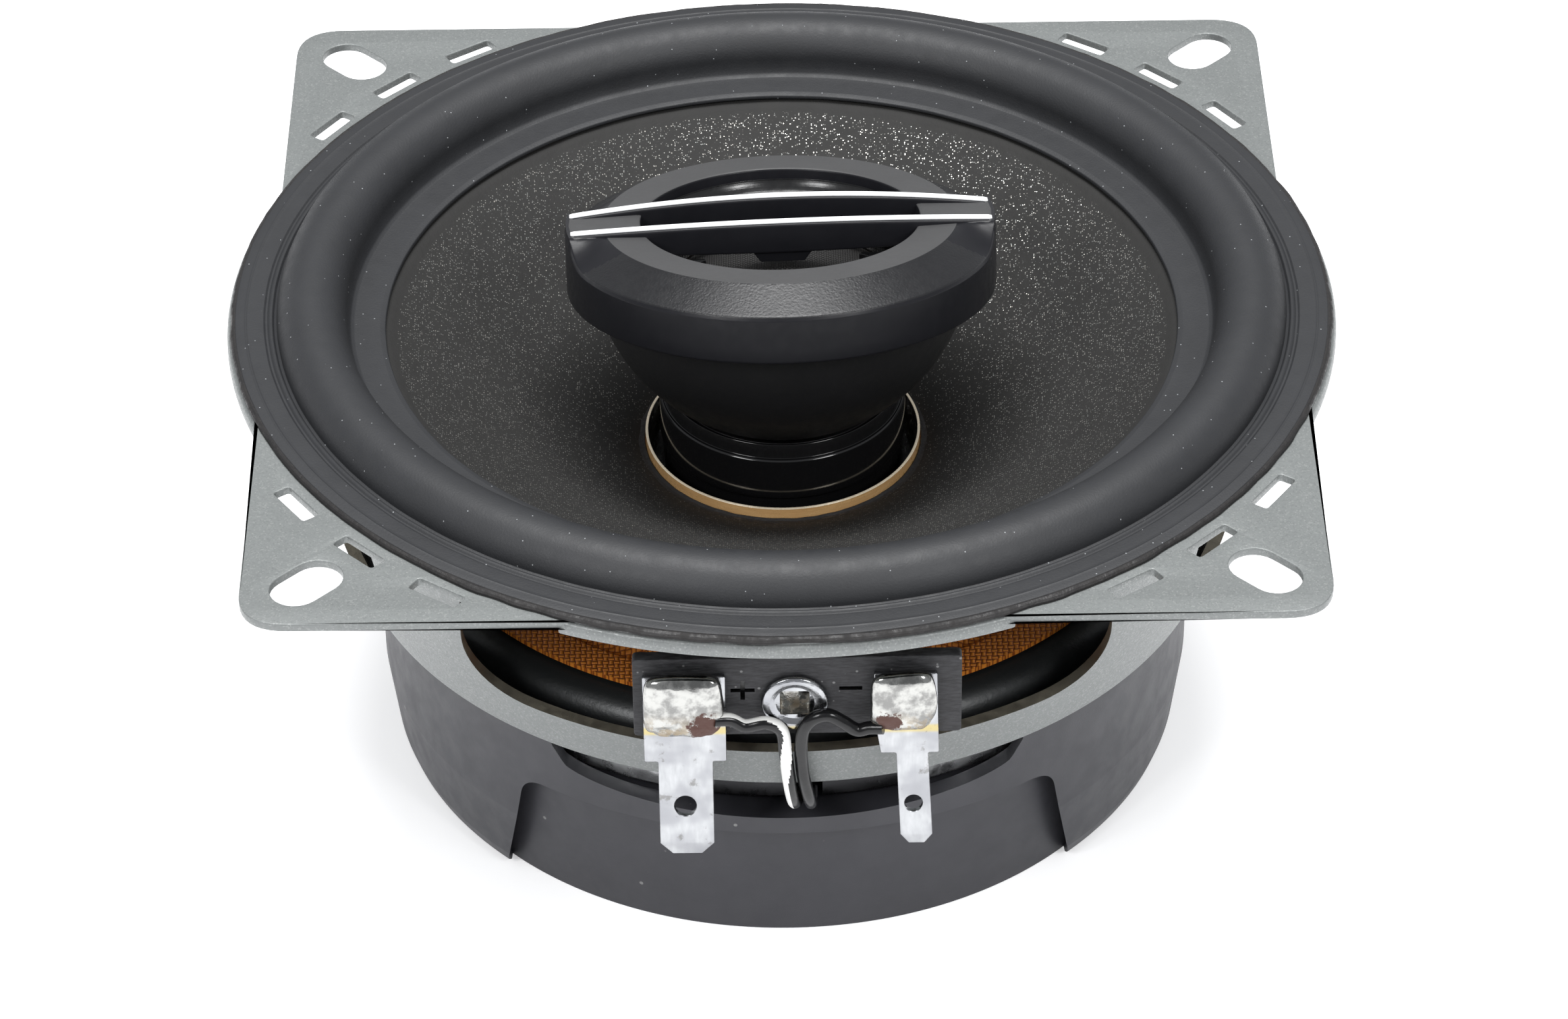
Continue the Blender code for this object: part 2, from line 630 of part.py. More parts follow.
def tweeter_routes():
    """Both tweeter leads: over the band, into the boot, under the yoke and up the pole."""
    striped = [
        (-5.0, -46.15, 33.5), (-3.7, -46.15, 32.8), (-1.9, -46.15, 33.1), (-0.6, -45.95, 32.1),
        (-0.25, -45.4, 29.4), (-0.05, -44.6, 26.4), (0.2, -43.3, 23.2), (0.5, -41.6, 20.3),
        (0.75, -39.4, 18.6), (0.75, -36.8, 17.9), (0.75, -34.8, 17.0), (0.75, -33.65, 15.6),
        (0.75, -33.4, 13.0), (0.75, -33.4, 6.0), (0.75, -33.0, 3.6), (0.75, -31.4, 2.1),
        (0.75, -28.0, 2.05), (0.75, -18.0, 2.05), (0.75, -8.0, 2.05), (0.2, -4.4, 2.05),
        (-0.4, -1.6, 2.3), (-0.63, -0.3, 3.8), (-0.63, 0.0, 6.5), (-0.63, 0.0, 14.0),
        (-0.63, 0.0, 24.0), (-0.63, 0.0, 34.0), (-0.63, 0.0, 41.1),
    ]
    plain = [
        (7.1, -46.15, 32.4), (6.0, -46.15, 32.2), (4.8, -46.15, 33.1), (3.5, -46.15, 33.9),
        (2.2, -46.15, 33.5), (1.35, -45.95, 32.1), (1.12, -45.4, 29.7), (1.2, -44.5, 26.9),
        (1.4, -43.6, 24.4), (1.9, -41.8, 20.6), (2.05, -39.6, 18.6), (2.05, -36.8, 17.9),
        (2.05, -34.8, 17.0), (2.05, -33.65, 15.6), (2.05, -33.4, 13.0), (2.05, -33.4, 6.0),
        (2.05, -33.0, 3.6), (2.05, -31.4, 2.1), (2.05, -28.0, 2.05), (2.05, -18.0, 2.05),
        (2.05, -8.0, 2.05), (1.5, -4.4, 2.05), (0.9, -1.6, 2.3), (0.63, -0.3, 3.8),
        (0.63, 0.0, 6.5), (0.63, 0.0, 14.0), (0.63, 0.0, 24.0), (0.63, 0.0, 34.0), (0.63, 0.0, 41.1),
    ]
    return striped, plain


def make_tweeter_leads(parts):
    striped, plain = tweeter_routes()
    paint(wire("tweeter_lead_striped", smooth_route(striped, 2), LEAD_DIAMETER, parts), BLACK, 0.35)
    paint(wire("tweeter_lead_plain", smooth_route(plain, 2), LEAD_DIAMETER, parts), BLACK, 0.35)


# ---------------------------------------------------------------- stem and swivel


def make_stem(parts, cutters):
    """Hollow post on the pole that carries the ball, held by a threaded spigot and a nut."""
    top_radius = 10.6
    dish = [(r, sphere_height(r, STEM_SOCKET)) for r in (2.2, 5.0, 8.0, top_radius)]
    inner_dish = [(r, sphere_height(r, STEM_SOCKET + STEM_WALL)) for r in (9.9, 6.5, 2.2)]
    outer = [
        (top_radius, 36.8), (11.0, 37.05), (11.2, 36.2), (STEM_RADIUS, 35.2), (STEM_RADIUS, 31.4),
        (11.3, 31.1), (STEM_RADIUS, 30.8), (STEM_RADIUS, FLOOR_BOTTOM), (3.9, FLOOR_BOTTOM), (3.9, 3.2),
    ]
    inner = [(2.7, 3.2), (2.7, 23.2), (9.9, 23.2)] + inner_dish
    stem = turned("tweeter_stem", outer + inner + dish, parts)
    paint(stem, BLACK, 0.12)

    nut("stem_lock_nut", 3.3, 5.5, 5.6, POLE_BORE, parts, cutters)
    nut("swivel_nut", 28.7, 30.6, 3.3, 2.2, parts, cutters)

    bolt = [
        (1.35, 40.9), (2.6, 40.9), (3.2, 40.4), (3.2, 39.4), (1.9, 39.4), (1.9, 27.8), (1.35, 27.8),
    ]
    paint(turned("swivel_bolt", bolt, parts, 24), STEEL, 0.3, 1.0)

    paint(ball_shell("swivel_saddle", SADDLE_SPHERES, (2.2, 8.0), 3, parts), (0.7, 0.7, 0.68), 0.4)
    paint(ball_shell("swivel_seat_ring", SEAT_SPHERES, (8.2, 10.3), 2, parts), (0.03, 0.03, 0.03), 0.4)

    per_turn = 12
    count = int(2.5 * per_turn)
    low, high = SPRING_HEIGHTS
    coil = []
    for k in range(count + 1):
        angle = 2 * math.pi * k / per_turn
        height = low + (high - low) * k / count
        coil.append((SPRING_RADIUS * math.cos(angle), SPRING_RADIUS * math.sin(angle), height))
    paint(wire("swivel_spring", coil, 0.5, parts, 1), STEEL, 0.3, 1.0)

    body = [(0.0, 28.2), (2.2, 28.2), (2.5, 27.9), (2.5, 23.9), (2.2, 23.6), (0.0, 23.6)]
    capacitor = turned("crossover_capacitor", body, parts, 24, False)
    capacitor.location = (0.0, CAPACITOR_OFFSET * MM, 0.0)
    paint(capacitor, (0.03, 0.05, 0.16), 0.3)


def ball_shell(name, spheres, spread, steps, parts):
    """A shell under the ball between two spheres, from one distance off the axis to another."""
    start, end = spread
    radii = [start + (end - start) * k / steps for k in range(steps + 1)]
    lower = [(r, sphere_height(r, spheres[1])) for r in reversed(radii)]
    upper = [(r, sphere_height(r, spheres[0])) for r in radii]
    return turned(name, lower + upper, parts)


def nut(name, low, high, across_corners, bore, parts, cutters):
    """A hexagon nut."""
    item = cylinder(name, across_corners, low, high, parts, 6)
    combine(item, add_cutter(cylinder(name + "_bore", bore, low - 1, high + 1, cutters, 24)), "DIFFERENCE")
    return paint(item, STEEL, 0.3, 1.0)


# ---------------------------------------------------------------- tweeter


def tweeter_axis(group):
    """Empty at the ball's centre, tilted as the tweeter stands; its X axis is the tilt axis."""
    empty = bpy.data.objects.new("tweeter_axis", None)
    group.objects.link(empty)
    empty.location = Vector(BALL_CENTRE) * MM
    empty.rotation_euler = (math.radians(-TWEETER_TILT), 0.0, math.radians(TWEETER_TURN))
    return empty


def bowed_bar(name, side, low, high, width, group):
    """A bar across the cap that bows outwards and arches upwards in its middle."""
    mesh = bpy.data.meshes.new(name)
    work = bmesh.new()
    bmesh.ops.create_cube(work, size=1.0)
    along = [edge for edge in work.edges if abs(edge.verts[0].co.x - edge.verts[1].co.x) > 0.5]
    bmesh.ops.subdivide_edges(work, edges=along, cuts=15, use_grid_fill=True)
    for vertex in work.verts:
        x, across, up = vertex.co
        crown = 1.0 - (2.0 * x) ** 2
        arch = BAR_ARCH * crown if up > 0 or low > RIB_HEIGHTS[1] else 0.0
        middle = side * (BAR_OFFSET + BAR_BOW * crown)
        vertex.co = (
            2.0 * x * BAR_HALF_LENGTH * MM,
            (middle + across * width) * MM,
            ((high if up > 0 else low) + arch) * MM,
        )
    work.to_mesh(mesh)
    work.free()
    return add_object(name, mesh, group)


def make_cap(parts, cutters, axis):
    """Trim ring over the ball, with the bar across it."""
    profile = [
        (12.77, 3.0), (16.2, 3.0), (19.55, 1.1), (CAP_RADIUS, 0.7), (CAP_RADIUS, -3.4), (18.0, -3.4),
        (18.0, 0.6), (13.9, 1.4), (13.9, -0.6), (12.5, -0.6),
    ]
    cap = attach(turned("tweeter_cap", profile, parts), axis)
    for name, left, right in (("bar_end_left", -19.4, -12.9), ("bar_end_right", 12.9, 19.4)):
        block = attach(add_cutter(box(name, (left, -3.3, 0.8), (right, 3.3, 3.001), cutters)), axis)
        combine(cap, block, "UNION")
    for name, side in (("front", -1), ("rear", 1)):
        rib = attach(add_cutter(bowed_bar(f"rib_{name}", side, *RIB_HEIGHTS, RIB_WIDTH, cutters)), axis)
        combine(cap, rib, "UNION")
        stripe = bowed_bar(f"cap_stripe_{name}", side, *STRIPE_HEIGHTS, STRIPE_WIDTH, parts)
        paint(attach(stripe, axis), (0.85, 0.86, 0.88), 0.2, 1.0)
    tab = box("bar_tab", (-2.5, -3.6, 0.2), (2.5, -2.2, 1.6), cutters)
    for vertex in tab.data.vertices:
        if vertex.co.z < 1.0 * MM:
            vertex.co.x *= 0.72
    combine(cap, attach(add_cutter(tab), axis), "UNION")
    paint(cap, (0.02, 0.02, 0.022), 0.4)


def make_ball(parts, axis):
    hole = 22.5
    outer = arc(BALL_RADIUS, 0.65, -(90.0 - hole), 8)
    inner = arc(BALL_RADIUS - BALL_WALL, -(90.0 - hole), 0.7, 8)
    paint(attach(turned("tweeter_ball", outer + inner, parts), axis), BLACK, 0.5)


def make_tweeter_motor(parts, axis):
    """Dome, suspension, chassis and motor inside the ball, in the tweeter's own frame."""
    yoke = [
        (0.0, -6.8), (9.9, -6.8), (9.9, -4.2), (11.4, -4.2), (11.4, -7.6), (11.0, -8.0), (0.0, -8.0),
    ]
    paint(attach(turned("tweeter_yoke", yoke, parts, 32, False), axis), STEEL, 0.35, 1.0)
    magnet = [(0.0, -5.0), (8.0, -5.0), (8.0, -6.5), (0.0, -6.5)]
    paint(attach(turned("tweeter_magnet", magnet, parts, 32, False), axis), STEEL, 0.25, 1.0)
    pole = [(0.0, -3.9), (8.6, -3.9), (8.6, -4.7), (0.0, -4.7)]
    paint(attach(turned("tweeter_pole_plate", pole, parts, 32, False), axis), STEEL, 0.3, 1.0)
    chassis = [(11.0, -3.1), (15.3, -3.1), (15.3, -3.9), (11.0, -3.9)]
    paint(attach(turned("tweeter_chassis", chassis, parts, 32), axis), BLACK, 0.5)

    roll = [(9.8, -2.5), (10.0, -2.4), (10.3, -2.1), (10.7, -2.1), (11.0, -2.5), (11.6, -2.5)]
    under = [(radius, height - 0.25) for radius, height in reversed(roll)]
    paint(attach(turned("dome_suspension", under + roll, parts, 24), axis), (0.05, 0.05, 0.05), 0.7)

    base_radius, rise, skin = 9.5, 2.2, 0.35
    sphere = (base_radius**2 + rise**2) / (2 * rise)
    top = -0.3
    radii = [base_radius * k / 4 for k in range(5)]
    outside = [(r, top - sphere + math.sqrt(sphere**2 - r * r)) for r in radii]
    inside = [(r, h - skin) for r, h in reversed(outside)]
    dome = attach(turned("tweeter_dome", outside + inside, parts, 24, False), axis)
    paint(dome, (0.06, 0.06, 0.055), 0.7)
    coil = [(9.5, -3.15), (9.5, -5.9), (9.1, -5.9), (9.1, -3.15)]
    paint(attach(turned("tweeter_coil", coil, parts, 32), axis), (0.60, 0.25, 0.12), 0.35, 1.0)

    for name, side in (("tweeter_pigtail_left", -1), ("tweeter_pigtail_right", 1)):
        route = [(side * 1.2, 0, -8.8), (side * 5, 0, -8.8), (side * 9, 0, -8.75), (side * 11.4, 0, -8.4),
                 (side * 12.25, 0, -7.2), (side * 12.25, 0, -5.6), (side * 12.25, 0, -4.3)]
        paint(attach(wire(name, route, 0.7, parts, 1), axis), BLACK, 0.4)


def make_guard(parts, cutters, axis):
    """Ring inside the cap with eight pointed teeth over the edge of the dome."""
    profile = [(10.6, 0.5), (12.2, 0.5), (12.2, -2.8), (11.85, -2.8), (11.85, -0.5), (10.6, -0.5)]
    guard = attach(turned("dome_guard", profile, parts), axis)
    for index in range(8):
        corners = [(11.2, -1.6), (11.2, 1.6), (7.6, 0.15), (7.6, -0.15)]
        tooth = plate(f"guard_tooth_{index}", [corners], -0.3, 0.3, cutters)
        turn = Matrix.Rotation(math.radians(22.5 + 45.0 * index), 4, "Z")
        tooth.data.transform(turn @ tooth.matrix_world)
        tooth.matrix_world = Matrix.Identity(4)
        combine(guard, attach(add_cutter(tooth), axis), "UNION")
    paint(guard, BLACK, 0.45)


def main():
    clear_scene()
    parts = new_collection("coaxial_car_speaker")
    cutters = new_collection("cutters")
    make_basket(parts, cutters)
    make_staking_rivets(parts)
    make_motor(parts, cutters)
    make_boot(parts, cutters)
    make_cone(parts)
    make_surround(parts)
    make_spider(parts)
    make_tinsel_leads(parts)
    make_board(parts, cutters)
    make_terminals(parts)
    make_tweeter_leads(parts)
    make_stem(parts, cutters)
    axis = tweeter_axis(parts)
    make_cap(parts, cutters, axis)
    make_ball(parts, axis)
    make_tweeter_motor(parts, axis)
    make_guard(parts, cutters, axis)


main()
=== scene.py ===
import math
import random

import bmesh
import bpy
from mathutils import Matrix, Vector, noise


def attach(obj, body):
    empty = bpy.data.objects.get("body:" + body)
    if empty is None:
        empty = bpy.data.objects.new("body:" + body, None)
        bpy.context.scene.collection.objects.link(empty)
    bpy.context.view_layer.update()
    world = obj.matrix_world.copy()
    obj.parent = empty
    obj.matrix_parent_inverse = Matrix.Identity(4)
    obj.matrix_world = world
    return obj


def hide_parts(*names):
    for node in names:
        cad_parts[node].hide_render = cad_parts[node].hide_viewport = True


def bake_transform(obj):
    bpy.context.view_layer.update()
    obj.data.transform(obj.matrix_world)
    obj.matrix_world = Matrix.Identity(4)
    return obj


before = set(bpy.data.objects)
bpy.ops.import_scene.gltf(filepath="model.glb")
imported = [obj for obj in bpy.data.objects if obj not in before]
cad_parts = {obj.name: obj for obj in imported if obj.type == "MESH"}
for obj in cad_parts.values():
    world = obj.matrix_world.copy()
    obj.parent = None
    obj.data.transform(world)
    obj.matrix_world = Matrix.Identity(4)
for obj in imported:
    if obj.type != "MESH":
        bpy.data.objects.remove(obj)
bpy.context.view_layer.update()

# Sizes are in millimetres and become metres through MM.
MM = 0.001
FINE = 288
MEDIUM = 160
LOOK = "_look"
# Without a seed of its own the noise starts from the clock and each run's unevenness differs.
NOISE_SEED = 1794912762
noise.seed_set(NOISE_SEED)

FLANGE_TOP = 45.5
SHEET = 0.8
EAR_HALF = 47.15
EAR_CORNER = 4.5
EAR_SLOT = 41.4
# Left, right, low and high side of a clip slot before it is swung round the axis
CLIP_SLOT = (51.65, 53.25, -2.5, 2.5)
# Half widths of the front, right, back and left windows
WINDOW_HALVES = (28.9, 24.3, 28.9, 24.3)
BOARD_FRONT = -44.7
BLADE_FRONT = -45.3
BLADE_SHEET = 0.5
EYELET = (0.62, 34.4)
EYELET_BORE = 2.2
JACKET = 1.2
# Half the white stripe's width, as a share of the way round a lead
HALF_STRIPE = 0.15

BALL_CENTRE = Vector((0.0, 0.0, 51.3))
TWEETER_TILT = -13.3
TWEETER_TURN = 2.9
TWEETER = (
    Matrix.Translation(BALL_CENTRE)
    @ Matrix.Rotation(math.radians(TWEETER_TURN), 4, "Z")
    @ Matrix.Rotation(math.radians(TWEETER_TILT), 4, "X")
)
BAR_HALF = 19.2
BAR_ARCH = 0.86
BAR_OFFSET = 2.23
BAR_BOW = 1.08

CAMERA_LENS = 129.09
# Turn to the right, pitch down and roll, in degrees
CAMERA_ANGLES = (0.211, 37.347, 0.618)
CAMERA_PLACE = Vector((-1.529, -423.539, 344.40))


# ---------------------------------------------------------------- materials


class Look:
    """A Principled material with short calls that add nodes to it.

    Its plain colour and roughness stay on the sockets, for viewers that can't run the nodes.
    """

    def __init__(self, name, colour, roughness, metallic=0.0, **sockets):
        self.made = bpy.data.materials.new(name + LOOK)
        self.made.use_nodes = True
        self.tree = self.made.node_tree
        self.shader = self.tree.nodes["Principled BSDF"]
        self.shader.inputs["Base Color"].default_value = (*colour, 1.0)
        self.shader.inputs["Roughness"].default_value = roughness
        self.shader.inputs["Metallic"].default_value = metallic
        for socket, value in sockets.items():
            self.shader.inputs[socket.replace("_", " ")].default_value = value
        self.place = self.tree.nodes.new("ShaderNodeTexCoord").outputs["Object"]

    def node(self, kind, **settings):
        made = self.tree.nodes.new(kind)
        for setting, value in settings.items():
            setattr(made, setting, value)
        return made

    def feed(self, socket, value):
        if isinstance(value, bpy.types.NodeSocket):
            self.tree.links.new(value, socket)
        else:
            socket.default_value = value

    def noise(self, size, detail=3.0, roughness=0.6, stretch=(1.0, 1.0, 1.0)):
        """Cloudy noise from 0 to 1 with features of that size in millimetres."""
        scaled = self.node("ShaderNodeMapping")
        self.feed(scaled.inputs["Vector"], self.place)
        scaled.inputs["Scale"].default_value = tuple(value / (size * MM) for value in stretch)
        texture = self.node("ShaderNodeTexNoise")
        self.feed(texture.inputs["Vector"], scaled.outputs[0])
        texture.inputs["Scale"].default_value = 1.0
        texture.inputs["Detail"].default_value = detail
        texture.inputs["Roughness"].default_value = roughness
        return texture.outputs["Fac"]

    def cells(self, size, feature="F1"):
        """Voronoi cells of that size in millimetres: (distance, random colour)."""
        texture = self.node("ShaderNodeTexVoronoi", feature=feature)
        self.feed(texture.inputs["Vector"], self.place)
        texture.inputs["Scale"].default_value = 1.0 / (size * MM)
        return texture.outputs["Distance"], texture.outputs["Color"]

    def maths(self, operation, a, b=0.0):
        made = self.node("ShaderNodeMath", operation=operation)
        for socket, value in zip(made.inputs, (a, b)):
            self.feed(socket, value)
        return made.outputs[0]

    def times(self, a, b):
        return self.maths("MULTIPLY", a, b)

    def plus(self, a, b):
        return self.maths("ADD", a, b)

    def vector(self, operation, a, b=(0.0, 0.0, 0.0)):
        made = self.node("ShaderNodeVectorMath", operation=operation)
        for socket, value in zip(made.inputs, (a, b)):
            self.feed(socket, value)
        return made.outputs["Value" if operation == "DISTANCE" else "Vector"]

    def split(self, value):
        """The three parts of a vector or a colour."""
        made = self.node("ShaderNodeSeparateXYZ")
        self.feed(made.inputs[0], value)
        return made.outputs

    def ramp(self, value, low, high, out_low=0.0, out_high=1.0):
        """Rises smoothly from out_low at low to out_high at high."""
        made = self.node("ShaderNodeMapRange", interpolation_type="SMOOTHSTEP")
        for socket, given in zip(made.inputs, (value, low, high, out_low, out_high)):
            self.feed(socket, given)
        return made.outputs[0]

    def mix(self, share, a, b):
        made = self.node("ShaderNodeMix", data_type="RGBA")
        self.feed(made.inputs["Factor"], share)
        for socket, value in (("A", a), ("B", b)):
            slot = [s for s in made.inputs if s.name == socket and s.type == "RGBA"][0]
            self.feed(slot, (*value, 1.0) if isinstance(value, tuple) else value)
        return [s for s in made.outputs if s.type == "RGBA"][0]

    def axis(self, which):
        return self.split(self.place)[which]

    def radius(self):
        """Distance from the speaker's axis, in metres."""
        x, y = self.axis("X"), self.axis("Y")
        return self.maths("SQRT", self.plus(self.times(x, x), self.times(y, y)))

    def near(self, point, reach):
        """1 at a point in millimetres and 0 beyond the reach."""
        gap = self.vector("DISTANCE", self.place, tuple(value * MM for value in point))
        return self.ramp(gap, 0.0, reach * MM, 1.0, 0.0)

    def colour(self, value):
        self.feed(self.shader.inputs["Base Color"], value)

    def rough(self, value):
        self.feed(self.shader.inputs["Roughness"], value)

    def metal(self, value):
        self.feed(self.shader.inputs["Metallic"], value)

    def bump(self, height, depth):
        """Surface relief, returned as a normal; depth is the full height in millimetres."""
        made = self.node("ShaderNodeBump")
        made.inputs["Distance"].default_value = depth * MM
        made.inputs["Strength"].default_value = 1.0
        self.feed(made.inputs["Height"], height)
        self.feed(self.shader.inputs["Normal"], made.outputs[0])
        return made.outputs[0]

    def specks(self, size, share, base, speck):
        """Mixes a few small specks of another colour into the base; returns colour and mask."""
        distance, tint = self.cells(size)
        chosen = self.maths("LESS_THAN", self.split(tint)["X"], share)
        mask = self.times(chosen, self.ramp(distance, 0.18, 0.30, 1.0, 0.0))
        return self.mix(mask, base, speck), mask


def frame_paint():
    """Grey metallic paint with a fine sparkle, glossier on the spider's seat, where its near-black colour
    is painted shade.
    """
    look = Look("frame_paint", (0.2, 0.21, 0.21), 0.42, 0.3)
    base = look.mix(look.noise(9.0, 4.0), (0.150, 0.160, 0.158), (0.172, 0.182, 0.180))
    tint = look.split(look.cells(0.14)[1])
    flake = look.ramp(tint["X"], 0.72, 1.0)
    dark = look.ramp(tint["Y"], 0.7, 1.0, 0.0, 0.3)
    colour = look.mix(look.times(flake, 0.3), base, (0.34, 0.35, 0.34))
    speckled = look.mix(dark, colour, (0.10, 0.105, 0.105))
    # Painted shade: inside the basket, on the spider's seat, the colour goes near-black.
    seat = look.times(look.ramp(look.radius(), 40.4 * MM, 39.4 * MM),
                      look.ramp(look.axis("Z"), 28.0 * MM, 27.0 * MM))
    look.colour(look.mix(seat, speckled, (0.022, 0.024, 0.025)))
    look.rough(look.ramp(seat, 0.0, 1.0, look.ramp(tint["X"], 0.0, 1.0, 0.5, 0.38), 0.34))
    look.bump(look.plus(look.noise(0.5, 2.0), look.times(flake, 0.2)), 0.02)
    return look.made


def punched_edge():
    """Bare steel where the windows were punched, with a little paint on it."""
    look = Look("punched_edge", (0.4, 0.36, 0.28), 0.4, 0.8)
    cloud = look.noise(0.9, 4.0, stretch=(1.0, 1.0, 0.3))
    look.colour(look.mix(cloud, (0.24, 0.22, 0.18), (0.46, 0.42, 0.33)))
    look.rough(look.ramp(cloud, 0.2, 0.8, 0.3, 0.6))
    look.bump(look.noise(0.15, 2.0, stretch=(1.0, 1.0, 0.2)), 0.03)
    return look.made


def surround_rubber():
    """Matte black rubber with moulding grain and a few specks of dust."""
    look = Look("surround_rubber", (0.022, 0.023, 0.026), 0.5, Specular_IOR_Level=0.42)
    base = look.mix(look.noise(7.0, 4.0), (0.0125, 0.013, 0.0145), (0.0185, 0.0195, 0.022))
    colour, mask = look.specks(0.27, 0.012, base, (0.26, 0.27, 0.28))
    look.colour(colour)
    look.rough(look.ramp(look.noise(1.4, 4.0), 0.25, 0.75, 0.5, 0.6))
    look.bump(look.plus(look.noise(0.22, 3.0), look.times(mask, 1.5)), 0.02)
    return look.made


def edge_glue():
    """Glossy black adhesive with small lumps."""
    look = Look("edge_glue", (0.01, 0.01, 0.011), 0.5, Specular_IOR_Level=0.3)
    lumps = look.noise(0.8, 3.0)
    look.colour(look.mix(look.noise(2.2), (0.008, 0.008, 0.009), (0.02, 0.018, 0.017)))
    look.rough(look.ramp(lumps, 0.3, 0.7, 0.42, 0.75))
    look.bump(lumps, 0.12)
    return look.made


def cone_paper():
    """Pressed charcoal paper with silver glitter flakes that each face their own way."""
    look = Look("cone_paper", (0.03, 0.03, 0.03), 0.75, Specular_IOR_Level=0.3)
    radius = look.radius()
    # Painted shade: toward the neck, under the tweeter, the paper is darker and carries fewer flakes.
    outer = look.ramp(radius, 13.0 * MM, 25.0 * MM, 0.25, 1.0)
    grey = look.mix(look.noise(2.5, 4.0), (0.0125, 0.0122, 0.0117), (0.020, 0.0195, 0.0187))
    base = look.mix(outer, (0.006, 0.0058, 0.0056), grey)
    distance, tint = look.cells(0.17)
    inside = look.ramp(distance, 0.27, 0.36, 1.0, 0.0)
    chosen = look.ramp(look.split(tint)["X"], 0.58, 0.97)
    paper = look.times(look.ramp(radius, 35.2 * MM, 35.6 * MM, 1.0, 0.0), outer)
    flake = look.times(look.times(inside, chosen), paper)
    silver = look.mix(look.split(tint)["Z"], (0.38, 0.40, 0.39), (0.60, 0.57, 0.52))
    look.colour(look.mix(flake, base, silver))
    look.metal(flake)
    look.rough(look.ramp(flake, 0.0, 1.0, 0.72, 0.3))
    fibres = look.bump(look.noise(0.5, 3.0), 0.04)
    middle = look.vector("SUBTRACT", tint, (0.5, 0.5, 0.5))
    lean = look.vector("MULTIPLY", middle, look.times(flake, 0.36))
    look.feed(look.shader.inputs["Normal"], look.vector("NORMALIZE", look.vector("ADD", fibres, lean)))
    return look.made


def woven_cloth(name, pitch, thread_colour, gap_colour, roughness):
    """Plain weave with threads along X and Y; pitch is the thread spacing in millimetres."""
    look = Look(name, thread_colour, roughness)
    step = math.pi / (pitch * MM)
    across, along = (look.maths("SINE", look.times(look.axis(axis), step)) for axis in "XY")
    over = look.ramp(look.times(across, along), -0.25, 0.25)
    warp = look.times(over, look.maths("ABSOLUTE", across))
    weft = look.times(look.maths("SUBTRACT", 1.0, over), look.maths("ABSOLUTE", along))
    height = look.plus(warp, weft)
    darker = tuple(value * 0.72 for value in thread_colour)
    thread = look.mix(look.noise(3.0, 4.0), darker, thread_colour)
    look.colour(look.mix(look.ramp(height, 0.25, 0.75), gap_colour, thread))
    look.bump(height, pitch * 0.35)
    return look.made


def amber_film():
    """Polyimide film of the voice coil former, with painted shade on its inside face and a painted
    highlight along its top edge.
    """
    look = Look("former_film", (0.62, 0.34, 0.11), 0.28, 0.25, Coat_Weight=0.5, Coat_Roughness=0.12)
    bands = look.noise(0.5, 3.0, stretch=(0.15, 0.15, 2.0))
    gold = look.mix(bands, (0.56, 0.30, 0.11), (0.80, 0.52, 0.24))
    # Painted shade: the inside face is near-black. Painted highlight: a pale line along the top edge.
    inner = look.ramp(look.radius(), 12.62 * MM, 12.7 * MM, 1.0, 0.0)
    edge = look.ramp(look.axis("Z"), 30.96 * MM, 31.02 * MM)
    look.colour(look.mix(edge, look.mix(inner, gold, (0.03, 0.018, 0.009)), (0.85, 0.74, 0.56)))
    look.rough(look.ramp(look.noise(0.9, 4.0), 0.3, 0.7, 0.22, 0.42))
    look.bump(bands, 0.03)
    return look.made


def boot_rubber():
    """Matte black moulded rubber with faint mottling."""
    look = Look("boot_rubber", (0.03, 0.03, 0.034), 0.5, Specular_IOR_Level=0.45)
    base = look.mix(look.noise(9.0, 5.0), (0.024, 0.024, 0.0285), (0.034, 0.034, 0.0405))
    look.colour(look.specks(0.8, 0.006, base, (0.16, 0.16, 0.16))[0])
    look.rough(look.ramp(look.noise(2.5, 4.0), 0.25, 0.75, 0.44, 0.56))
    look.bump(look.noise(0.12, 3.0), 0.012)
    return look.made


def moulded_plastic(name, colour, roughness, grain_size, grain_depth, spread=0.08, **sockets):
    """Moulded plastic with a grain, faint handling marks and uneven gloss."""
    look = Look(name, colour, roughness, **sockets)
    look.colour(look.mix(look.noise(4.0, 5.0), tuple(value * 0.75 for value in colour), colour))
    low, high = roughness - spread / 2, roughness + spread / 2
    look.rough(look.ramp(look.noise(1.1, 4.0), 0.3, 0.7, low, high))
    look.bump(look.noise(grain_size, 2.0), grain_depth)
    return look.made


def cap_grain():
    """Fine leather-like grain of the cap's sloping face."""
    look = Look("cap_grain", (0.02, 0.02, 0.022), 0.33, Specular_IOR_Level=0.38)
    look.colour(look.mix(look.noise(3.0, 4.0), (0.0055, 0.0056, 0.0065), (0.0085, 0.0086, 0.010)))
    look.rough(look.ramp(look.noise(0.9, 3.0), 0.3, 0.7, 0.32, 0.40))
    pebbles = look.times(look.cells(0.24, "SMOOTH_F1")[0], -1.0)
    look.bump(look.plus(pebbles, look.noise(0.16, 2.0)), 0.016)
    return look.made


def bright_trim():
    """Silver-white paint of the two stripes."""
    look = Look("stripe_trim", (0.86, 0.87, 0.88), 0.35, 0.0)
    along = look.noise(0.6, 3.0, stretch=(0.15, 2.0, 1.0))
    look.colour(look.mix(along, (0.78, 0.79, 0.80), (0.88, 0.89, 0.90)))
    look.rough(look.ramp(look.noise(0.5, 3.0), 0.3, 0.7, 0.24, 0.4))
    look.bump(look.noise(0.3, 2.0), 0.012)
    return look.made


